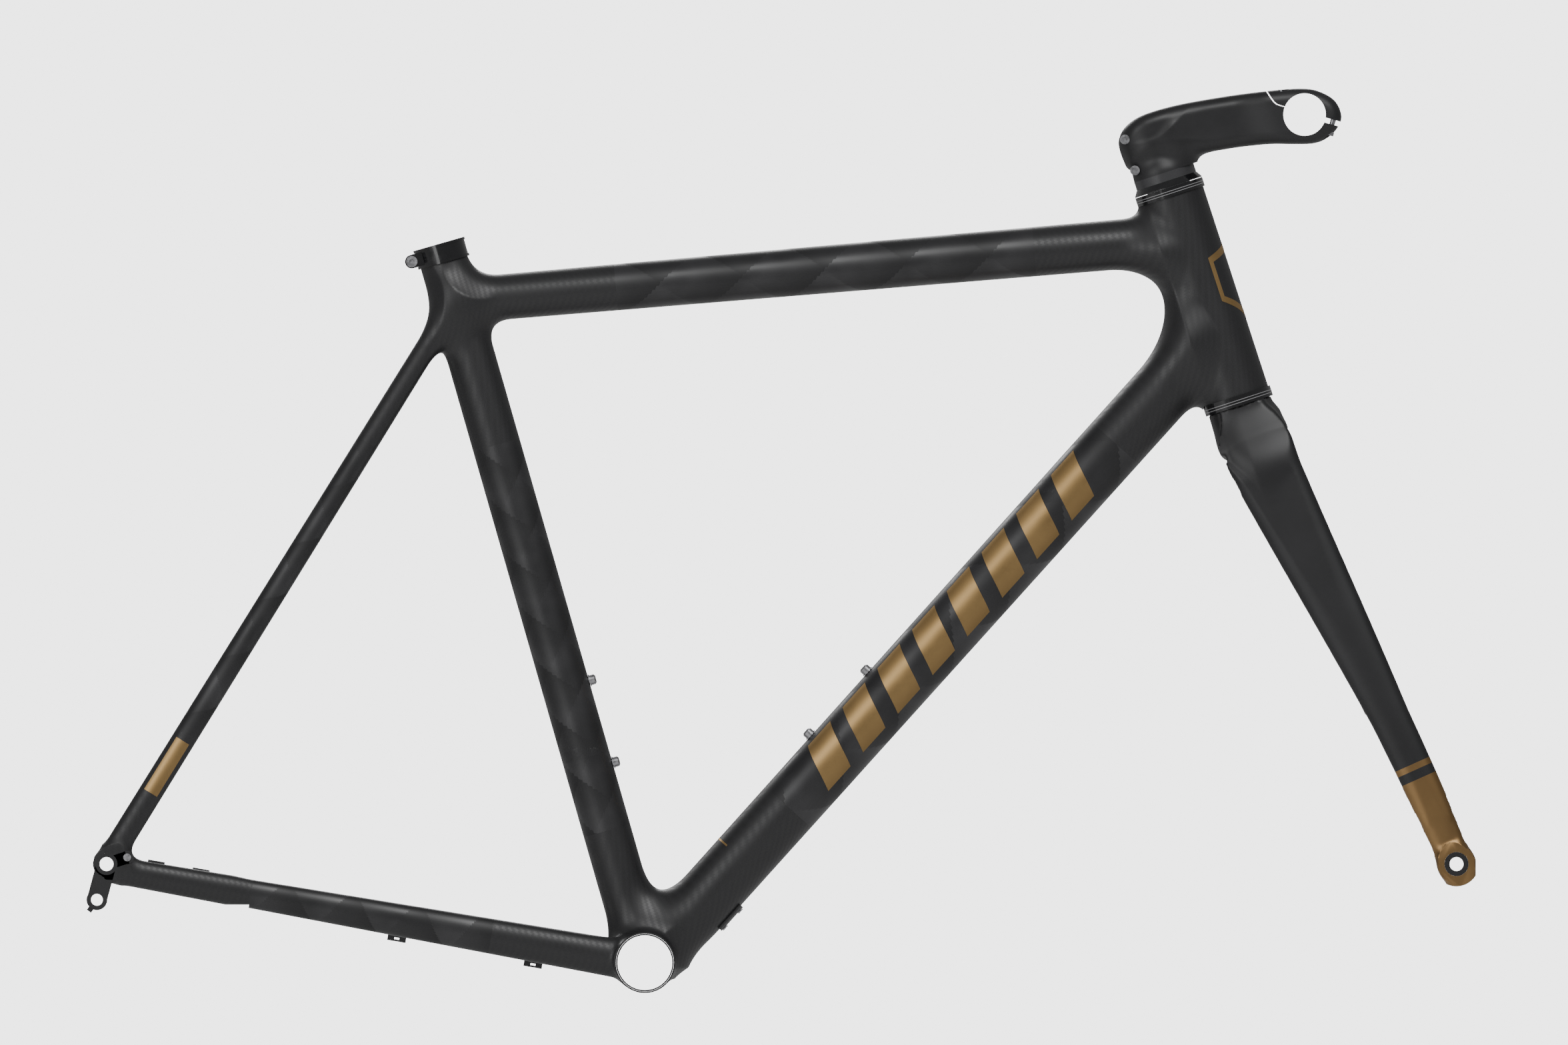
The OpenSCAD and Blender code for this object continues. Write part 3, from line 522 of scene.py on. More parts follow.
def prism(outline):
    """A tool to cut with: a closed outline in the side view, drawn out to both sides."""
    n = len(outline)
    corners = [(u, y, v) for y in (-PRISM_HALF, PRISM_HALF) for u, v in outline]
    walls = [(i, (i + 1) % n, n + (i + 1) % n, n + i) for i in range(n)]
    obj = make_object("prism", corners, [tuple(range(n)), tuple(range(n, 2 * n))] + walls)
    return face_outward(obj)


def upward(direction):
    """A direction in the side view as one in space."""
    return (direction[0], 0, direction[1])


# ---- Finishing a piece ------------------------------------------------------------------------

def smooth(obj, angle=38):
    obj.data.shade_smooth()
    obj.data.set_sharp_from_angle(angle=math.radians(angle))


def finish_piece(obj, material, body, slot, *nodes):
    """Gives a piece its material and body, and hides the nodes it replaces. The slot argument is not used."""
    obj.data.materials.clear()
    obj.data.materials.append(material)
    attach(obj, body)
    if nodes:
        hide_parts(*nodes)
    return obj


# ---- Materials -----------------------------------------------------------------------------------

class Paint:
    """A material and short ways to add nodes to it."""

    def __init__(self, name, color, roughness, metallic=0.0, coat=0.0, coat_roughness=0.1):
        self.material = bpy.data.materials.new(name)
        self.material.use_nodes = True
        self.tree = self.material.node_tree
        self.shader = self.tree.nodes["Principled BSDF"]
        self.shader.inputs["Base Color"].default_value = (*color, 1)
        self.shader.inputs["Roughness"].default_value = roughness
        self.shader.inputs["Metallic"].default_value = metallic
        self.shader.inputs["Coat Weight"].default_value = coat
        self.shader.inputs["Coat Roughness"].default_value = coat_roughness

    def add(self, kind, *inputs, **settings):
        node = self.tree.nodes.new(kind)
        for key, value in settings.items():
            setattr(node, key, value)
        for i, value in enumerate(inputs):
            self.put(node.inputs[i], value)
        return node

    def put(self, socket, value):
        if isinstance(value, bpy.types.NodeSocket):
            self.tree.links.new(value, socket)
        elif value is not None:
            socket.default_value = value

    def math(self, operation, a, b=None, c=None):
        return self.add("ShaderNodeMath", a, b, c, operation=operation).outputs[0]

    def dot(self, vector, direction):
        return self.add("ShaderNodeVectorMath", vector, direction, operation="DOT_PRODUCT").outputs["Value"]

    def where(self):
        """The position on the piece, in metres."""
        return self.add("ShaderNodeTexCoord").outputs["Object"]

    def uv(self):
        split = self.add("ShaderNodeSeparateXYZ", self.add("ShaderNodeTexCoord").outputs["UV"])
        return split.outputs[0], split.outputs[1]

    def noise(self, vector, scale, detail=3, roughness=0.5):
        node = self.add("ShaderNodeTexNoise", vector)
        node.inputs["Scale"].default_value = scale
        node.inputs["Detail"].default_value = detail
        node.inputs["Roughness"].default_value = roughness
        return node.outputs[0]

    def stretched(self, vector, factors):
        return self.add("ShaderNodeVectorMath", vector, factors, operation="MULTIPLY").outputs[0]

    def ramp(self, value, low, high, out_low, out_high):
        node = self.add("ShaderNodeMapRange", value, low, high, out_low, out_high)
        return node.outputs[0]

    def shades(self, factor, first, second):
        node = self.add("ShaderNodeMix", data_type="RGBA")
        self.put(node.inputs[0], factor)
        self.put(node.inputs[6], (*first, 1) if isinstance(first, tuple) else first)
        self.put(node.inputs[7], (*second, 1) if isinstance(second, tuple) else second)
        return node.outputs[2]

    def mix(self, factor, first, second):
        node = self.add("ShaderNodeMix", factor)
        self.put(node.inputs[2], first)
        self.put(node.inputs[3], second)
        return node.outputs[0]

    def color(self, value):
        self.put(self.shader.inputs["Base Color"], value)

    def rough(self, value):
        self.put(self.shader.inputs["Roughness"], value)

    def bump(self, height, strength, distance):
        node = self.add("ShaderNodeBump")
        node.inputs["Strength"].default_value = strength
        node.inputs["Distance"].default_value = distance
        self.put(node.inputs["Height"], height)
        self.put(self.shader.inputs["Normal"], node.outputs[0])


def twill_carbon():
    """Two-over-two twill under satin lacquer, for the lugs. The cloth shows only in the highlights."""
    m = Paint("twill_carbon", (0.016, 0.016, 0.017), 0.42, coat=0.12, coat_roughness=0.4)
    here = m.where()
    tow = 0.0018
    a = m.math("DIVIDE", m.dot(here, (0.71, 0.9, 0.71)), tow)
    b = m.math("DIVIDE", m.dot(here, (0.71, 0.3, -0.71)), tow)
    step = m.math("ADD", m.math("FLOOR", a), m.math("FLOOR", b))
    over = m.math("LESS_THAN", m.math("FLOORED_MODULO", step, 4.0), 1.5)
    cloudy = m.noise(here, 22.0, 2)
    fibre = m.noise(m.stretched(here, (900, 2600, 900)), 1.0, 2)
    m.color(m.shades(over, (0.0148, 0.0148, 0.0158), (0.0166, 0.0166, 0.018)))
    m.rough(m.math("ADD", m.ramp(over, 0.0, 1.0, 0.4, 0.46), m.ramp(cloudy, 0.3, 0.7, -0.04, 0.04)))
    m.put(m.shader.inputs["Specular IOR Level"], m.ramp(over, 0.0, 1.0, 0.53, 0.47))
    m.bump(m.math("ADD", over, m.math("MULTIPLY", fibre, 0.3)), 0.02, 0.0001)
    return m.material


def wound_carbon(name, turns, pitch, serration):
    """Filament-wound carbon: helical bands cross over each other and leave soft facets, whose colour
    brightens along each slope as a painted sheen.

    u is one per turn and v is in decimetres along the tube."""
    m = Paint(name, (0.014, 0.014, 0.015), 0.42, coat=0.12, coat_roughness=0.4)
    u, v = m.uv()
    teeth = m.math("FRACT", m.math("MULTIPLY", u, 38.0))
    along = m.math("MULTIPLY_ADD", teeth, serration, m.math("DIVIDE", v, pitch))
    a = m.math("MULTIPLY_ADD", u, float(turns), along)
    b = m.math("SUBTRACT", m.math("MULTIPLY", u, float(turns)), along)
    layer = m.math("ADD", m.math("FLOOR", a), m.math("FLOOR", b))
    over = m.math("LESS_THAN", m.math("FLOORED_MODULO", layer, 2.0), 0.5)
    slope_a, slope_b = m.math("FRACT", a), m.math("FRACT", b)
    facet = m.mix(over, slope_a, slope_b)
    strand = m.mix(over, m.math("MULTIPLY", a, 60.0), m.math("MULTIPLY", b, 60.0))
    fibre = m.math("SINE", m.math("MULTIPLY", strand, 2 * math.pi))
    patch = m.noise(m.where(), 30.0, 2)
    # Painted sheen: each facet's colour brightens along its slope, in step with the bump's tilt, and random
    # patches break it up. The crossing bands themselves are the winding's pattern.
    lift = m.math("MULTIPLY", facet, m.ramp(patch, 0.35, 0.65, 0.3, 1.0))
    m.color(m.shades(lift, (0.012, 0.012, 0.013), (0.021, 0.021, 0.023)))
    m.rough(m.math("ADD", m.ramp(facet, 0.0, 1.0, 0.5, 0.34), m.ramp(patch, 0.3, 0.7, -0.04, 0.04)))
    m.put(m.shader.inputs["Specular IOR Level"], m.ramp(lift, 0.0, 1.0, 0.4, 0.72))
    m.bump(m.math("ADD", facet, m.math("MULTIPLY", fibre, 0.012)), 0.22, 0.0006)
    return m.material


def satin_black(name="satin_black", color=(0.012, 0.012, 0.013), roughness=0.42):
    m = Paint(name, color, roughness)
    here = m.where()
    cloudy = m.noise(here, 30.0, 3)
    grain = m.noise(here, 2600.0, 2)
    lift = tuple(c * 1.8 for c in color)
    m.color(m.shades(m.ramp(cloudy, 0.3, 0.75, 0.0, 0.6), color, lift))
    m.rough(m.math("ADD", m.ramp(cloudy, 0.3, 0.7, roughness - 0.04, roughness + 0.05),
                   m.math("MULTIPLY", grain, 0.03)))
    m.bump(grain, 0.12, 0.00006)
    return m.material


def gloss_black():
    """Gloss black of the headset, with two thin pale lines round each ring."""
    m = Paint("gloss_black", (0.006, 0.006, 0.007), 0.16, coat=0.6, coat_roughness=0.05)
    here = m.where()
    crown = CROWN * MM
    s = m.math("SUBTRACT", m.dot(here, upward(STEER_UP)), float(crown @ STEER_UP))
    line = None
    for station in RING_LINES:
        near = m.math("COMPARE", s, station * MM, 0.00016)
        line = near if line is None else m.math("MAXIMUM", line, near)
    smear = m.noise(here, 160.0, 3)
    m.color(m.shades(line, m.shades(smear, (0.004, 0.004, 0.005), (0.009, 0.009, 0.01)), (0.42, 0.42, 0.43)))
    m.rough(m.ramp(smear, 0.3, 0.7, 0.1, 0.22))
    return m.material


def gold(name="gold_paint", color=(0.50, 0.325, 0.14)):
    """Metallic gold paint with faint flow and flake, painted paler on up-facing surfaces and darker on
    down-facing ones as painted light from above.
    """
    m = Paint(name, color, 0.34, metallic=1.0)
    here = m.where()
    flow = m.noise(here, 40.0, 2)
    flake = m.noise(here, 3800.0, 1)
    # Painted light: the colour runs from a painted shade on surfaces that face down to a paler gold on those
    # that face up, with a little random flow on top.
    facing = m.dot(m.add("ShaderNodeNewGeometry").outputs["Normal"], (0, 0, 1))
    pale = tuple(min(1, c * 1.35) for c in color)
    painted_shade_gold = tuple(c * 0.42 for c in color)
    painted_light_and_flow = m.math("ADD", m.ramp(facing, -0.55, 0.75, 0.0, 1.0), m.ramp(flow, 0.3, 0.7, -0.05, 0.05))
    m.color(m.shades(painted_light_and_flow, painted_shade_gold, pale))
    m.rough(m.math("ADD", m.ramp(flow, 0.3, 0.7, 0.34, 0.38), m.math("MULTIPLY", flake, 0.06)))
    m.bump(flake, 0.08, 0.00005)
    return m.material


def fork_paint():
    """Satin black with metallic gold on the tips and one gold band above them."""
    m = Paint("fork_paint", (0.013, 0.013, 0.014), 0.4)
    here = m.where()
    along = m.math("SUBTRACT", m.dot(here, upward(BAND_DOWN)), float(FRONT @ BAND_DOWN) * MM)
    tip = m.math("GREATER_THAN", along, -GOLD_TIP * MM)
    band = m.math("COMPARE", along, -GOLD_BAND * MM, 0.0024)
    painted = m.math("MAXIMUM", tip, band)
    cloudy = m.noise(here, 26.0, 3)
    grain = m.noise(here, 2600.0, 2)
    black = m.shades(m.ramp(cloudy, 0.3, 0.75, 0.0, 0.6), (0.011, 0.011, 0.012), (0.021, 0.021, 0.023))
    metal = m.shades(cloudy, (0.27, 0.165, 0.075), (0.36, 0.225, 0.1))
    m.color(m.shades(painted, black, metal))
    m.put(m.shader.inputs["Metallic"], painted)
    m.rough(m.math("ADD", m.mix(painted, 0.4, 0.36), m.math("MULTIPLY", grain, 0.04)))
    m.bump(grain, 0.12, 0.00006)
    return m.material


def steel(name, color, roughness):
    """Turned and tumbled stainless steel."""
    m = Paint(name, color, roughness, metallic=1.0)
    here = m.where()
    wear = m.noise(here, 420.0, 4)
    lathe = m.noise(m.stretched(here, (300, 300, 5200)), 1.0, 2)
    dark = tuple(c * 0.7 for c in color)
    m.color(m.shades(m.ramp(wear, 0.35, 0.7, 0.0, 1.0), dark, color))
    m.rough(m.math("ADD", m.ramp(wear, 0.3, 0.7, roughness - 0.06, roughness + 0.08),
                   m.math("MULTIPLY", lathe, 0.05)))
    m.bump(lathe, 0.1, 0.00004)
    return m.material


# ---- Lofted tubes and decals -------------------------------------------------------------------

ROUND = 96


def loft(name, line, span, centre, half, rows):
    """A closed tube along a line, with u once round and v in decimetres along it."""
    points = []
    stations = np.linspace(*span, rows)
    for d in stations:
        a, b = half(d)
        for i in range(ROUND):
            turn = 2 * math.pi * i / ROUND
            p = line.at(d, a * math.cos(turn))
            points.append((p[0], centre(d) + b * math.sin(turn), p[1]))
    faces, uvs = [], []
    for k in range(rows - 1):
        for i in range(ROUND):
            j = (i + 1) % ROUND
            faces.append((k * ROUND + i, k * ROUND + j, (k + 1) * ROUND + j, (k + 1) * ROUND + i))
            u0, u1 = i / ROUND, (i + 1) / ROUND
            v0, v1 = stations[k] / 100, stations[k + 1] / 100
            uvs += [(u0, v0), (u1, v0), (u1, v1), (u0, v1)]
    faces.append(tuple(range(ROUND))[::-1])
    faces.append(tuple((rows - 1) * ROUND + i for i in range(ROUND)))
    uvs += [(0, 0)] * (2 * ROUND)
    obj = make_object(name, points, faces)
    layer = obj.data.uv_layers.new(name="UVMap")
    layer.data.foreach_set("uv", np.array(uvs, np.float32).ravel())
    smooth(face_outward(obj))
    return obj


def decal(name, surface, corners, cells=(10, 14), proud=0.12):
    """A thin closed patch on a surface. Its four corners are in the surface's own two coordinates."""
    c = np.array(corners, float)
    m, n = cells
    flat = [
        (1 - s) * ((1 - t) * c[0] + t * c[3]) + s * ((1 - t) * c[1] + t * c[2])
        for s in np.linspace(0, 1, m + 1) for t in np.linspace(0, 1, n + 1)
    ]
    over = [surface(a, b, proud) for a, b in flat]
    under = [surface(a, b, -0.3) for a, b in flat]
    at = lambda i, j: i * (n + 1) + j
    base = len(over)
    faces = []
    for i in range(m):
        for j in range(n):
            quad = (at(i, j), at(i + 1, j), at(i + 1, j + 1), at(i, j + 1))
            faces += [quad, tuple(base + q for q in quad[::-1])]
    rim = [at(i, 0) for i in range(m)] + [at(m, j) for j in range(n)]
    rim += [at(i, n) for i in range(m, 0, -1)] + [at(0, j) for j in range(n, 0, -1)]
    for p, q in zip(rim, rim[1:] + rim[:1]):
        faces.append((q, p, base + p, base + q))
    obj = make_object(name, over + under, faces)
    smooth(face_outward(obj))
    return obj


def on_tube(line, radius, centre=lambda d: 0.0, sign=1):
    """Maps (distance along, degrees round from the top) to a point, proud of the tube's surface."""
    def surface(d, angle, proud):
        a, b = radius(d)
        turn = math.radians(angle)
        p = line.at(d, (a + proud) * math.cos(turn))
        return p[0], sign * (centre(d) - (b + proud) * math.sin(turn)), p[1]
    return surface


def join(name, objects):
    """One piece from several."""
    b = bmesh.new()
    for o in objects:
        b.from_mesh(o.data)
        bpy.data.objects.remove(o)
    whole = make_object(name, [], [])
    b.to_mesh(whole.data)
    b.free()
    smooth(whole)
    return whole


# ---- The frame's pieces -----------------------------------------------------------------------

def head_lug(material):
    """The head tube's lug, open for the bearings."""
    piece = moulded("head_lug_shell", head_field, (272, -34, 350), (482, 34, 592), LUG_STEP)
    cut(piece, [
        block(TOP, 380, TOP_SPAN[1], half_up=28),
        block(DOWN, 470, DOWN_SPAN[1], half_up=34),
        drill(head_pt(0), 0, upward(STEER_UP), HEAD_R + 2, -60, HEAD_SPAN[0]),
        block(HEAD, HEAD_SPAN[1], 240, half_up=60),
        drill(head_pt(0), 0, upward(STEER_UP), BEARING_BORE_R, -10, 190),
    ])
    smooth(piece)
    return finish_piece(piece, material, "frame", "twill_carbon", "head_lug")


def seat_lug(material):
    """The seat tube's lug, open for the seatpost."""
    piece = moulded("seat_lug_shell", seat_field, (-232, -46, 352), (4, 46, 566), LUG_STEP)
    cut(piece, [
        block(TOP, TOP_SPAN[0], 180, half_up=30),
        block(STAY_UP, STAY_UP_SPAN[0], 180, half_up=22),
        block(SEAT, 330, SEAT_SPAN[1], half_up=24),
        block(SEAT, SEAT_TOP - 0.8, 640, half_up=60),
        drill((0, 0), 0, upward(SEAT_UP), POST_BORE_R, SEAT_SPAN[1] - 30, SEAT_TOP + 30),
        drill(seat_pt(SEAT_TOP - 32), 0, (-SEAT_UP[1], 0, SEAT_UP[0]), 2.2, 4, 30, 32),
    ])
    smooth(piece)
    return finish_piece(piece, material, "frame", "twill_carbon", "seat_lug")


def bb_lug(material):
    """The bottom bracket's lug."""
    piece = moulded("bb_lug_shell", bb_field, (-152, -56, -34), (160, 56, 164), LUG_STEP)
    cut(piece, [
        block(DOWN, DOWN_SPAN[0], 230, half_up=34),
        block(SEAT, SEAT_SPAN[0], 160, half_up=30),
        block(STAY_LOW, STAY_LOW_SPAN[0], 170, half_up=22),
        drill((0, 0), 0, SIDEWAYS, BB_R - 1.1, -70, 70),
        drill((0, 0), 0, SIDEWAYS, 60, BB_W / 2 - 0.4, 90),
        drill((0, 0), 0, SIDEWAYS, 60, -90, -BB_W / 2 + 0.4),
    ])
    smooth(piece)
    return finish_piece(piece, material, "frame", "twill_carbon", "bb_lug")


def dropout(material, sign):
    """One rear dropout: the left one when sign is positive."""
    name = "left" if sign > 0 else "right"
    low, high = (44, 92) if sign > 0 else (-92, -44)
    piece = moulded("dropout_" + name, dropout_field, (-424, low, 42), (-272, high, 200), DROPOUT_STEP)
    outside, inside = REAR_PLATE + REAR_TIP_HALF, REAR_PLATE - REAR_TIP_HALF
    cut(piece, [
        block(STAY_UP, 340, STAY_UP_SPAN[1], half_up=14),
        block(STAY_LOW, 250, STAY_LOW_SPAN[1], half_up=14),
        drill(REAR, 0, (0, sign, 0), 8.2, 40, 100),
        drill(REAR, 0, (0, sign, 0), 22, 40, inside),
        drill(REAR, 0, (0, sign, 0), 26, outside, 100),
    ])
    smooth(piece)
    node = "rear_dropout_" + name
    return finish_piece(piece, material, "frame", "twill_carbon", node)


def tubes():
    """The wound tubes between the lugs."""
    wide = wound_carbon("wound_wide", 2, 0.62, 0.03)
    narrow = wound_carbon("wound_narrow", 1, 0.5, 0.03)
    flat = wound_carbon("wound_seat", 3, 0.42, 0.05)
    circle = lambda r: (lambda d: (r(d), r(d)))
    middle = lambda d: 0.0
    rows = [
        ("top_tube", TOP, TOP_SPAN, middle, circle(top_r), 24, wide),
        ("down_tube", DOWN, DOWN_SPAN, middle, circle(down_r), 28, wide),
        ("seat_tube", SEAT, SEAT_SPAN, middle, circle(lambda d: SEAT_R), 24, flat),
        ("seatstay_left", STAY_UP, STAY_UP_SPAN, stay_up_y, stay_up_half, 24, narrow),
        ("seatstay_right", STAY_UP, STAY_UP_SPAN, lambda d: -stay_up_y(d), stay_up_half, 24, narrow),
        ("chainstay_left", STAY_LOW, STAY_LOW_SPAN, stay_low_y, stay_low_half, 30, narrow),
        ("chainstay_right", STAY_LOW, STAY_LOW_SPAN, lambda d: -stay_low_y(d), stay_low_half, 30, narrow),
    ]
    for node, line, span, centre, half, count, material in rows:
        finish_piece(loft(node + "_wound", line, span, centre, half, count), material,
                     "frame", "wound_carbon", node)


# ---- The fork and the stem ----------------------------------------------------------------------

def fork(material):
    piece = moulded("fork_moulding", fork_field, (408, -68, 50), (632, 68, 432), FORK_STEP)
    plate_in, plate_out = FORK_PLATE - 6, FORK_PLATE + 6
    tools = [
        drill(head_pt(0), 0, upward(STEER_UP), 14.35, -60, 20),
        block(HEAD, CROWN_TOP - 0.1, 60, half_up=80),
    ]
    for sign in (-1, 1):
        tools += [
            drill(FRONT, 0, (0, sign, 0), 9, 30, 90),
            drill(FRONT, 0, (0, sign, 0), 30, 30, plate_in),
            drill(FRONT, 0, (0, sign, 0), 30, plate_out, 90),
        ]
    cut(piece, tools)
    smooth(piece)
    return finish_piece(piece, material, "fork", "satin_carbon", "fork_crown", "fork_leg_left",
                        "fork_leg_right", "fork_tip_left", "fork_tip_right")


# The neck's side outline, in distance forward of the steering axis and height above the crown
NECK = [
    (-22, 196), (0, 200), (22, 196), (38, 189.6), (60, 185.8), (82, 181), (98, 175.8), (112, 171.6),
    (122, 171.4), (132.6, 175.6), (139.8, 184), (138.6, 197), (128.6, 207.9), (116.3, 213.7), (94, 219.2),
    (65, 224.8), (30, 229.9), (6, 231.4), (-9, 229.9), (-20, 224.5), (-26.2, 215), (-26.4, 203),
]
STEM_FOOT = 185.0
EDGE_R = 9.0  # rounding of the neck's edges
BACK_R = 27.5  # rounding of the neck's back, seen from above
NECK_HALF = 18.6  # half the neck's width between its two thicker ends
# Above the joint in front of the bar, the front bolts stand square to this line through the bar's centre
SPLIT_SLOPE = math.radians(-17.2)
SPLIT = Line(BAR, BAR + (math.cos(SPLIT_SLOPE), math.sin(SPLIT_SLOPE)))
BOLT_Y = (-15, 15)
BOLT_POCKET_R = 3.75
FRONT_BOLT = 21.8
CAP_BOLT = np.array((-17.0, 15.9))
CAP_BOLT_UP = unit((0.36, 0.93))
PINCH_HEIGHTS = (193.5, 217.9)
PINCH_BACK = -20.1
# Side view, from the bar's centre: the edge of the top cap, from the stem's back up to its top
CAP_LINE = [(-150, -11.8), (-139.6, -9.7), (-129.9, -7.1), (-123.7, -5.1), (-116.6, -2.7),
            (-111.5, -0.5), (-106.4, 2.6), (-101.3, 6.1), (-98, 8.6)]
# The same for the joint between the stem and the bar's cap, behind the bar and in front of it
JOINT_BEHIND = [(-38, 32), (-28.8, 17.2), (-25.8, 12.6), (-23.4, 9.3), (-21.2, 7.5), (-17.5, 6.2), (-13, 5.2)]
JOINT_AHEAD = [(10, -4.6), (15.6, -6.1), (26.7, -9.2), (40, -12.9)]
GAP_BEHIND = np.array((0.7, 0.4))
GAP_AHEAD = np.array((0, 3.9))


def rounded_outline(points, parts=4):
    """A closed smooth curve through the points."""
    p = np.array(points, float)
    out = []
    for i in range(len(p)):
        a, b, c, d = (p[(i + k) % len(p)] for k in (-1, 0, 1, 2))
        for t in np.arange(parts) / parts:
            out.append(0.5 * (2 * b + (c - a) * t + (2 * a - 5 * b + 4 * c - d) * t**2
                              + (3 * b - 3 * c + d - a) * t**3))
    return np.array(out)


def outline_distance(u, v, outline):
    """Distance from a closed outline, below zero inside it."""
    near = np.full(u.shape, 1e9)
    inside = np.zeros(u.shape, bool)
    for (u0, v0), (u1, v1) in zip(outline, np.roll(outline, -1, 0)):
        du, dv = u1 - u0, v1 - v0
        t = np.clip(((u - u0) * du + (v - v0) * dv) / (du * du + dv * dv), 0, 1)
        near = np.minimum(near, (u - u0 - t * du) ** 2 + (v - v0 - t * dv) ** 2)
        if dv != 0:
            crosses = ((v0 <= v) != (v1 <= v)) & (u < u0 + (v - v0) / dv * du)
            inside ^= crosses
    return np.where(inside, -1, 1) * np.sqrt(near)


NECK_CURVE = rounded_outline(NECK)


def neck_half(f):
    """Half the stem's width at a distance forward of the steering axis."""
    round_back = np.sqrt(np.maximum(1 - (np.minimum(f, 0) / BACK_R) ** 2, 0.02))
    wider_clamp = (STEM_W / 2 - NECK_HALF) * ease(f, 66, 96)
    wider_back = 3.4 * (1 - ease(f, 4, 44))
    return (NECK_HALF + wider_clamp + wider_back) * round_back


def stem_field(p):
    """The stem as one body. On the grid the outline is measured in one sheet, as it is alike at every Y."""
    s, back = HEAD.split(p[:, :1] if p.ndim == 4 else p)
    f = -back
    side_gap = outline_distance(f, s, NECK_CURVE) + EDGE_R
    flank = np.abs(p[..., 1]) - neck_half(f) + EDGE_R
    side_gap = np.broadcast_to(side_gap, flank.shape)
    outer = np.hypot(np.maximum(side_gap, 0), np.maximum(flank, 0))
    neck = outer + np.minimum(np.maximum(side_gap, flank), 0) - EDGE_R
    foot_top = 206
    foot_r = 23.3 - 6 * ease(s, 186, foot_top)
    foot = np.maximum(np.hypot(f, p[..., 1]) - foot_r, between(s, STEM_FOOT - 8, foot_top))
    return blend(neck, foot, 9 + 13 * ease(f, 0, 20))


def twin(obj, name):
    """A copy of an object with a mesh of its own."""
    other = obj.copy()
    other.data = obj.data.copy()
    other.name = name
    bpy.context.scene.collection.objects.link(other)
    return other


def above_joint(back_shift, front_shift):
    """The space over the joint of the bar's cap: bent behind the bar, nearly straight in front."""
    outline = [np.array(q) + back_shift for q in JOINT_BEHIND]
    outline += [np.array(q) + front_shift for q in JOINT_AHEAD]
    outline += [np.array((JOINT_AHEAD[-1][0], 70)), np.array((JOINT_BEHIND[0][0], 70))]
    return prism([BAR + q for q in outline])


def above_cap():
    """The space over the lower edge of the stem's top cap."""
    above = [(CAP_LINE[-1][0], 40), (CAP_LINE[0][0], 40)]
    return prism([BAR + np.array(q) for q in CAP_LINE + above])


def cap_bolt(y):
    """One bolt of the bar's cap: a round head with a hexagon socket."""
    spot, up = BAR + CAP_BOLT, upward(CAP_BOLT_UP)
    head = drill(spot, y, up, 3.45, -1.6, 1.9, 48)
    return cut(head, [drill(spot, y, up, 1.9, 0.2, 6, 6)])


def stem(material, screws):
    """The stem's body, the bar's cap with its two bolts, and the top cap, all cut from one shape."""
    piece = moulded("stem_shell", stem_field, (340, -28, 580), (532, 28, 664), STEM_STEP)
    tools = [
        block(HEAD, 150, STEM_FOOT, half_up=60),
        drill(BAR, 0, SIDEWAYS, BAR_R, -40, 40, 128),
        drill(head_pt(0), 0, upward(STEER_UP), STEERER_BORE_R, 170, 224),
        block(Line(head_pt(170, -40), head_pt(260, -40)), 0, 90, half_up=30, half_y=0.7),
    ]
    for s in PINCH_HEIGHTS:
        for sign in (-1, 1):
            tools.append(drill(head_pt(s, PINCH_BACK), 0, (0, sign, 0), BOLT_POCKET_R, 12, 40, 48))
    for y in BOLT_Y:
        tools.append(drill(SPLIT.at(FRONT_BOLT), y, upward(SPLIT.up), BOLT_POCKET_R, -40, -6.5, 48))
    cut(piece, tools)
    lid = twin(piece, "stem_faceplate_shell")
    top = twin(piece, "stem_top_shell")
    cut(piece, [above_joint(np.zeros(2), np.zeros(2)), above_cap()])
    cut(lid, [above_joint(GAP_BEHIND, GAP_AHEAD)], "INTERSECT")
    cut(lid, [drill(BAR + CAP_BOLT, y, upward(CAP_BOLT_UP), 3.6, -1.6, 12, 48) for y in BOLT_Y])
    bolts = join("faceplate_top_bolt_heads", [cap_bolt(y) for y in BOLT_Y])
    smooth(bolts)
    finish_piece(bolts, screws, "fork", "screws", "faceplate_top_bolts")
    cut(top, [above_cap()], "INTERSECT")
    slightly_narrower = Matrix.Diagonal((1, 0.992, 1, 1))
    bake_place(top, slightly_narrower)
    for obj, node in ((piece, "stem_body"), (lid, "stem_faceplate"), (top, "stem_top_cap")):
        smooth(obj)
        finish_piece(obj, material, "fork", "satin_black", node)


# ---- Decals ---------------------------------------------------------------------------------------

BAND_DOWN = unit(FRONT - LEG.at(0.7 * LEG.length, leg_shift(0.7)))
GOLD_TIP = 70.0
GOLD_BAND = 79.5
RING_LINES = (3.6, 5.6, 168.8, 170.6)


def down_tube_stripes(material):
    """A row of slanted gold bars on both flanks, in place of lettering."""
    surface = {s: on_tube(DOWN, lambda d: (down_r(d), down_r(d)), sign=s) for s in (1, -1)}
    bars, width, pitch, lean = 8, 25, 39, 15
    for s, word in ((1, "right"), (-1, "left")):
        made = []
        for i in range(bars):
            d = 186 + i * pitch
            corners = [(d + lean, 32), (d + lean + width, 32), (d + width, 128), (d, 128)]
            made.append(decal("bar", surface[s], corners, (6, 26)))
        piece = join("down_tube_stripes_" + word, made)
        finish_piece(piece, material, "frame", "gold_tips")


# Corners of the label on the seatstay: distance along the stay, degrees round from its top
LABEL = [(388, 52), (434, 52), (434, 128), (388, 128)]


def stay_labels(material):
    """A plain gold label on the outside of each seatstay."""
    for s, word in ((1, "right"), (-1, "left")):
        surface = on_tube(STAY_UP, stay_up_half, lambda d: -stay_up_y(d), sign=s)
        piece = decal("seatstay_label_" + word, surface, LABEL, (12, 16))
        finish_piece(piece, material, "frame", "gold_tips")


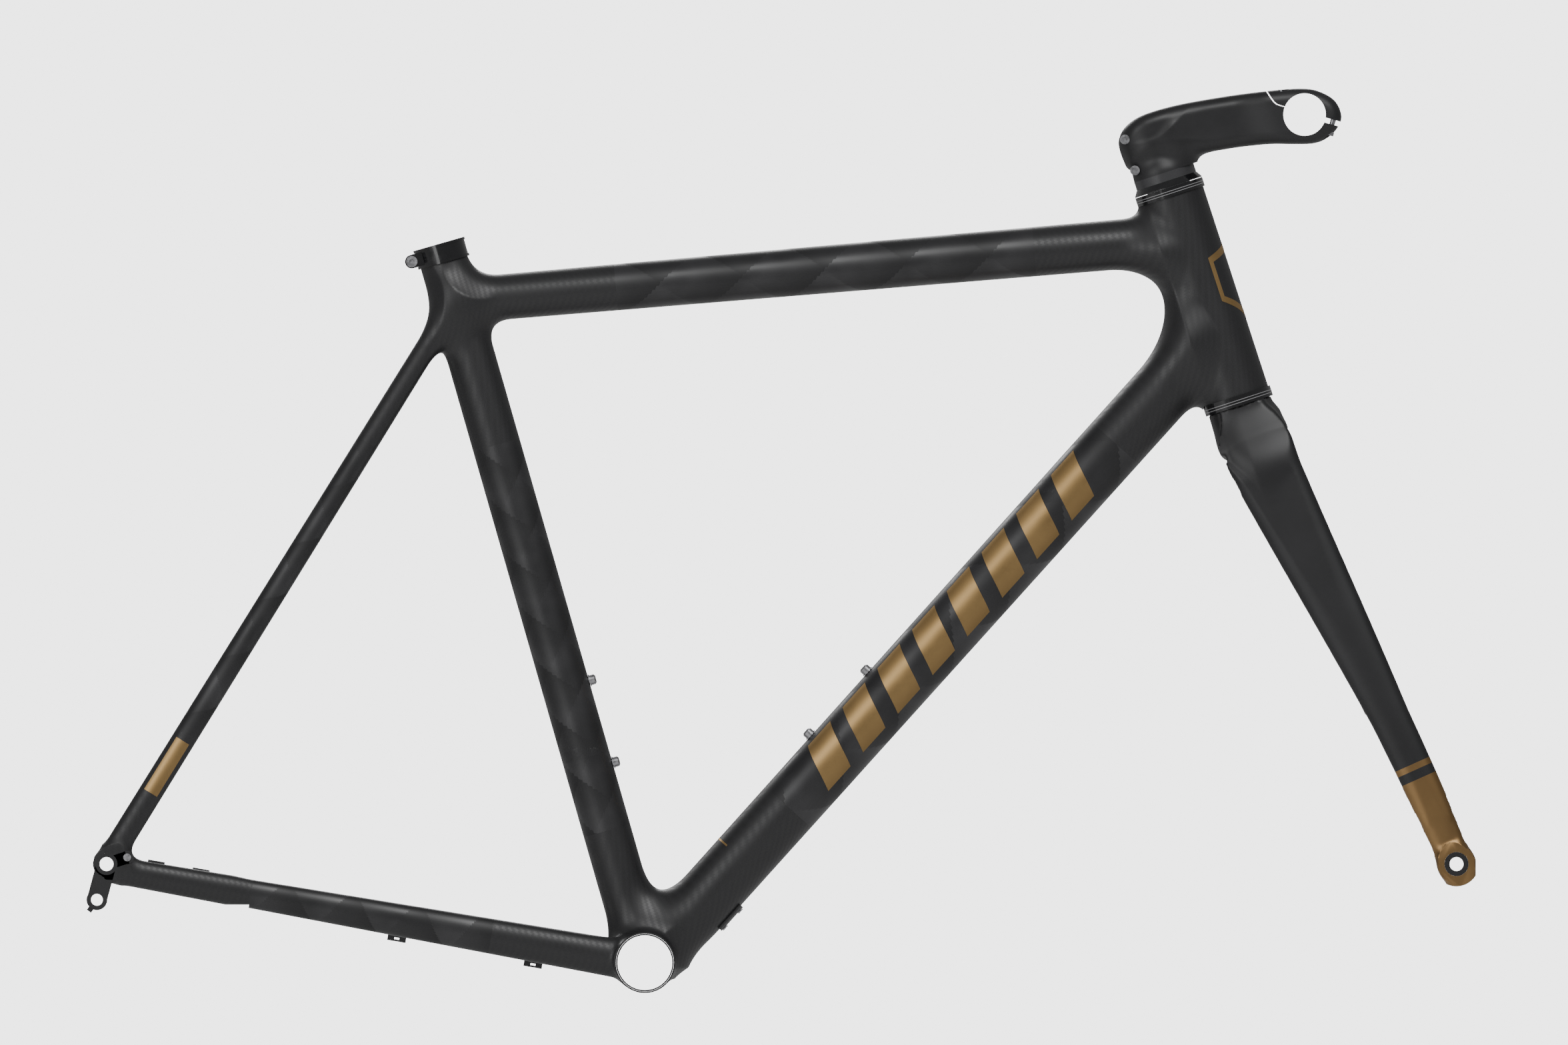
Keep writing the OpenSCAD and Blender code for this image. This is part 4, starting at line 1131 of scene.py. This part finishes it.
def head_badge(material):
    """A plain six-sided outline on the front of the head tube."""
    def surface(s, angle, proud):
        turn = math.radians(angle)
        r = HEAD_R + proud
        p = head_pt(s, r * math.cos(turn))
        return p[0], r * math.sin(turn), p[1]
    ring = [(122, 0), (114, 62), (80, 62), (62, 0), (80, -62), (114, -62)]
    inner = [(116, 0), (110, 54), (83, 54), (69, 0), (83, -54), (110, -54)]
    sides = []
    for i in range(6):
        j = (i + 1) % 6
        sides.append(decal("side", surface, [ring[i], ring[j], inner[j], inner[i]], (16, 2)))
    finish_piece(join("head_badge", sides), material, "frame", "gold_tips")


# ---- Small pieces ---------------------------------------------------------------------------------

LOOK_OF = {
    "gloss_black": ["seat_clamp", "upper_cup", "lower_cup", "bearing_cover"],
    "satin_black": [
        "derailleur_hanger", "rear_axle_insert", "cable_guides", "port_cover", "brake_mount_pads",
        "fork_axle_nut", "expander_plug", "bb_sleeve", "seatpost_sleeve",
    ],
    "satin_carbon": ["steerer"],
    "spacer_grey": ["headset_spacer"],
    "screws": [
        "seat_clamp_bolt", "seat_clamp_nut", "hanger_screw", "bottle_inserts", "bottle_screws",
        "port_cover_screws", "fork_brake_inserts", "faceplate_front_bolts",
        "stem_pinch_bolts", "stem_pinch_nuts", "preload_bolt",
    ],
    "bearing_steel": [
        "upper_outer_race", "lower_outer_race", "lower_inner_race", "upper_inner_race", "crown_race",
        "compression_ring", "upper_balls", "lower_balls",
    ],
}


def dress_nodes(looks):
    """Gives the model's own small parts their materials."""
    for look, names in LOOK_OF.items():
        for name in names:
            node = frame["nodes"][name]
            node.data.materials.clear()
            node.data.materials.append(looks[look])


def gold_ring(material):
    """A thin gold line round the down tube behind the lug's end."""
    surface = on_tube(DOWN, lambda d: (down_r(d), down_r(d)))
    parts = [decal("ring", surface, [(104, a), (105.4, a), (105.4, a + 60), (104, a + 60)], (1, 10), 0.1)
             for a in (-70, -10)]
    finish_piece(join("down_tube_ring", parts), material, "frame", "gold_tips")


# ---- The room ------------------------------------------------------------------------------------

FLOOR = -267.0
FLOOR_HALF = 6000


def floor():
    """A plain pale floor, where the wheels would stand."""
    material = Paint("floor", (0.78, 0.78, 0.78), 0.6).material
    corners = [(x * FLOOR_HALF, y * FLOOR_HALF, FLOOR) for x, y in ((-1, -1), (1, -1), (1, 1), (-1, 1))]
    obj = make_object("floor", corners, [(0, 1, 2, 3)])
    obj.data.materials.append(material)


# Name, place, the point it faces, size and power
LAMPS = [
    ("key", (0.9, -2.2, 2.6), (0.1, 0, 0.3), (2.4, 1.2), 60),
    ("front_fill", (-1.6, -2.4, 0.9), (0.0, 0, 0.3), (1.6, 1.6), 22),
    ("back_rim", (-0.4, 2.4, 1.8), (0.1, 0, 0.3), (2.4, 1.0), 30),
]


def lamp(name, place, target, size, power):
    """A soft box at a place, turned to a target, in metres and watts."""
    light = bpy.data.lights.new(name, "AREA")
    light.shape = "RECTANGLE"
    light.size, light.size_y = size
    light.energy = power
    obj = bpy.data.objects.new(name, light)
    bpy.context.scene.collection.objects.link(obj)
    obj.location = place
    obj.rotation_euler = (Vector(target) - Vector(place)).to_track_quat("-Z", "Y").to_euler()


def world(light, shown):
    """One brightness for light and reflections, another for what the camera sees."""
    scene_world = bpy.data.worlds.new("studio")
    bpy.context.scene.world = scene_world
    scene_world.use_nodes = True
    tree = scene_world.node_tree
    background = tree.nodes["Background"]
    path = tree.nodes.new("ShaderNodeLightPath")
    mix = tree.nodes.new("ShaderNodeMapRange")
    tree.links.new(path.outputs["Is Camera Ray"], mix.inputs[0])
    mix.inputs[3].default_value = light
    mix.inputs[4].default_value = shown
    background.inputs[0].default_value = (1, 1, 1, 1)
    tree.links.new(mix.outputs[0], background.inputs[1])


VIEW_CENTRE = (0.10435, 0.33025)
VIEW_WIDTH = 1.176


def camera():
    """Square to the right side, with parallel rays."""
    data = bpy.data.cameras.new("camera")
    data.type = "ORTHO"
    data.ortho_scale = VIEW_WIDTH
    obj = bpy.data.objects.new("camera", data)
    bpy.context.scene.collection.objects.link(obj)
    obj.location = (VIEW_CENTRE[0], -3, VIEW_CENTRE[1])
    obj.rotation_euler = (math.pi / 2, 0, 0)
    bpy.context.scene.camera = obj


def build():
    """Every piece with its material."""
    looks = {
        "twill": twill_carbon(),
        "gloss_black": gloss_black(),
        "satin_black": satin_black(),
        "satin_carbon": satin_black("satin_carbon", (0.014, 0.014, 0.016), 0.36),
        "spacer_grey": satin_black("spacer_grey", (0.034, 0.034, 0.036), 0.3),
        "screws": steel("screw_steel", (0.52, 0.52, 0.54), 0.3),
        "bearing_steel": steel("bearing_steel", (0.6, 0.6, 0.61), 0.2),
        "gold": gold(),
    }
    head_lug(looks["twill"])
    seat_lug(looks["twill"])
    bb_lug(looks["twill"])
    dropout(looks["twill"], 1)
    dropout(looks["twill"], -1)
    tubes()
    fork(fork_paint())
    stem(looks["satin_black"], looks["screws"])
    down_tube_stripes(looks["gold"])
    stay_labels(looks["gold"])
    head_badge(looks["gold"])
    gold_ring(looks["gold"])
    dress_nodes(looks)


build()
floor()
camera()
world(0.25, 3.6)
for soft_box in LAMPS:
    lamp(*soft_box)
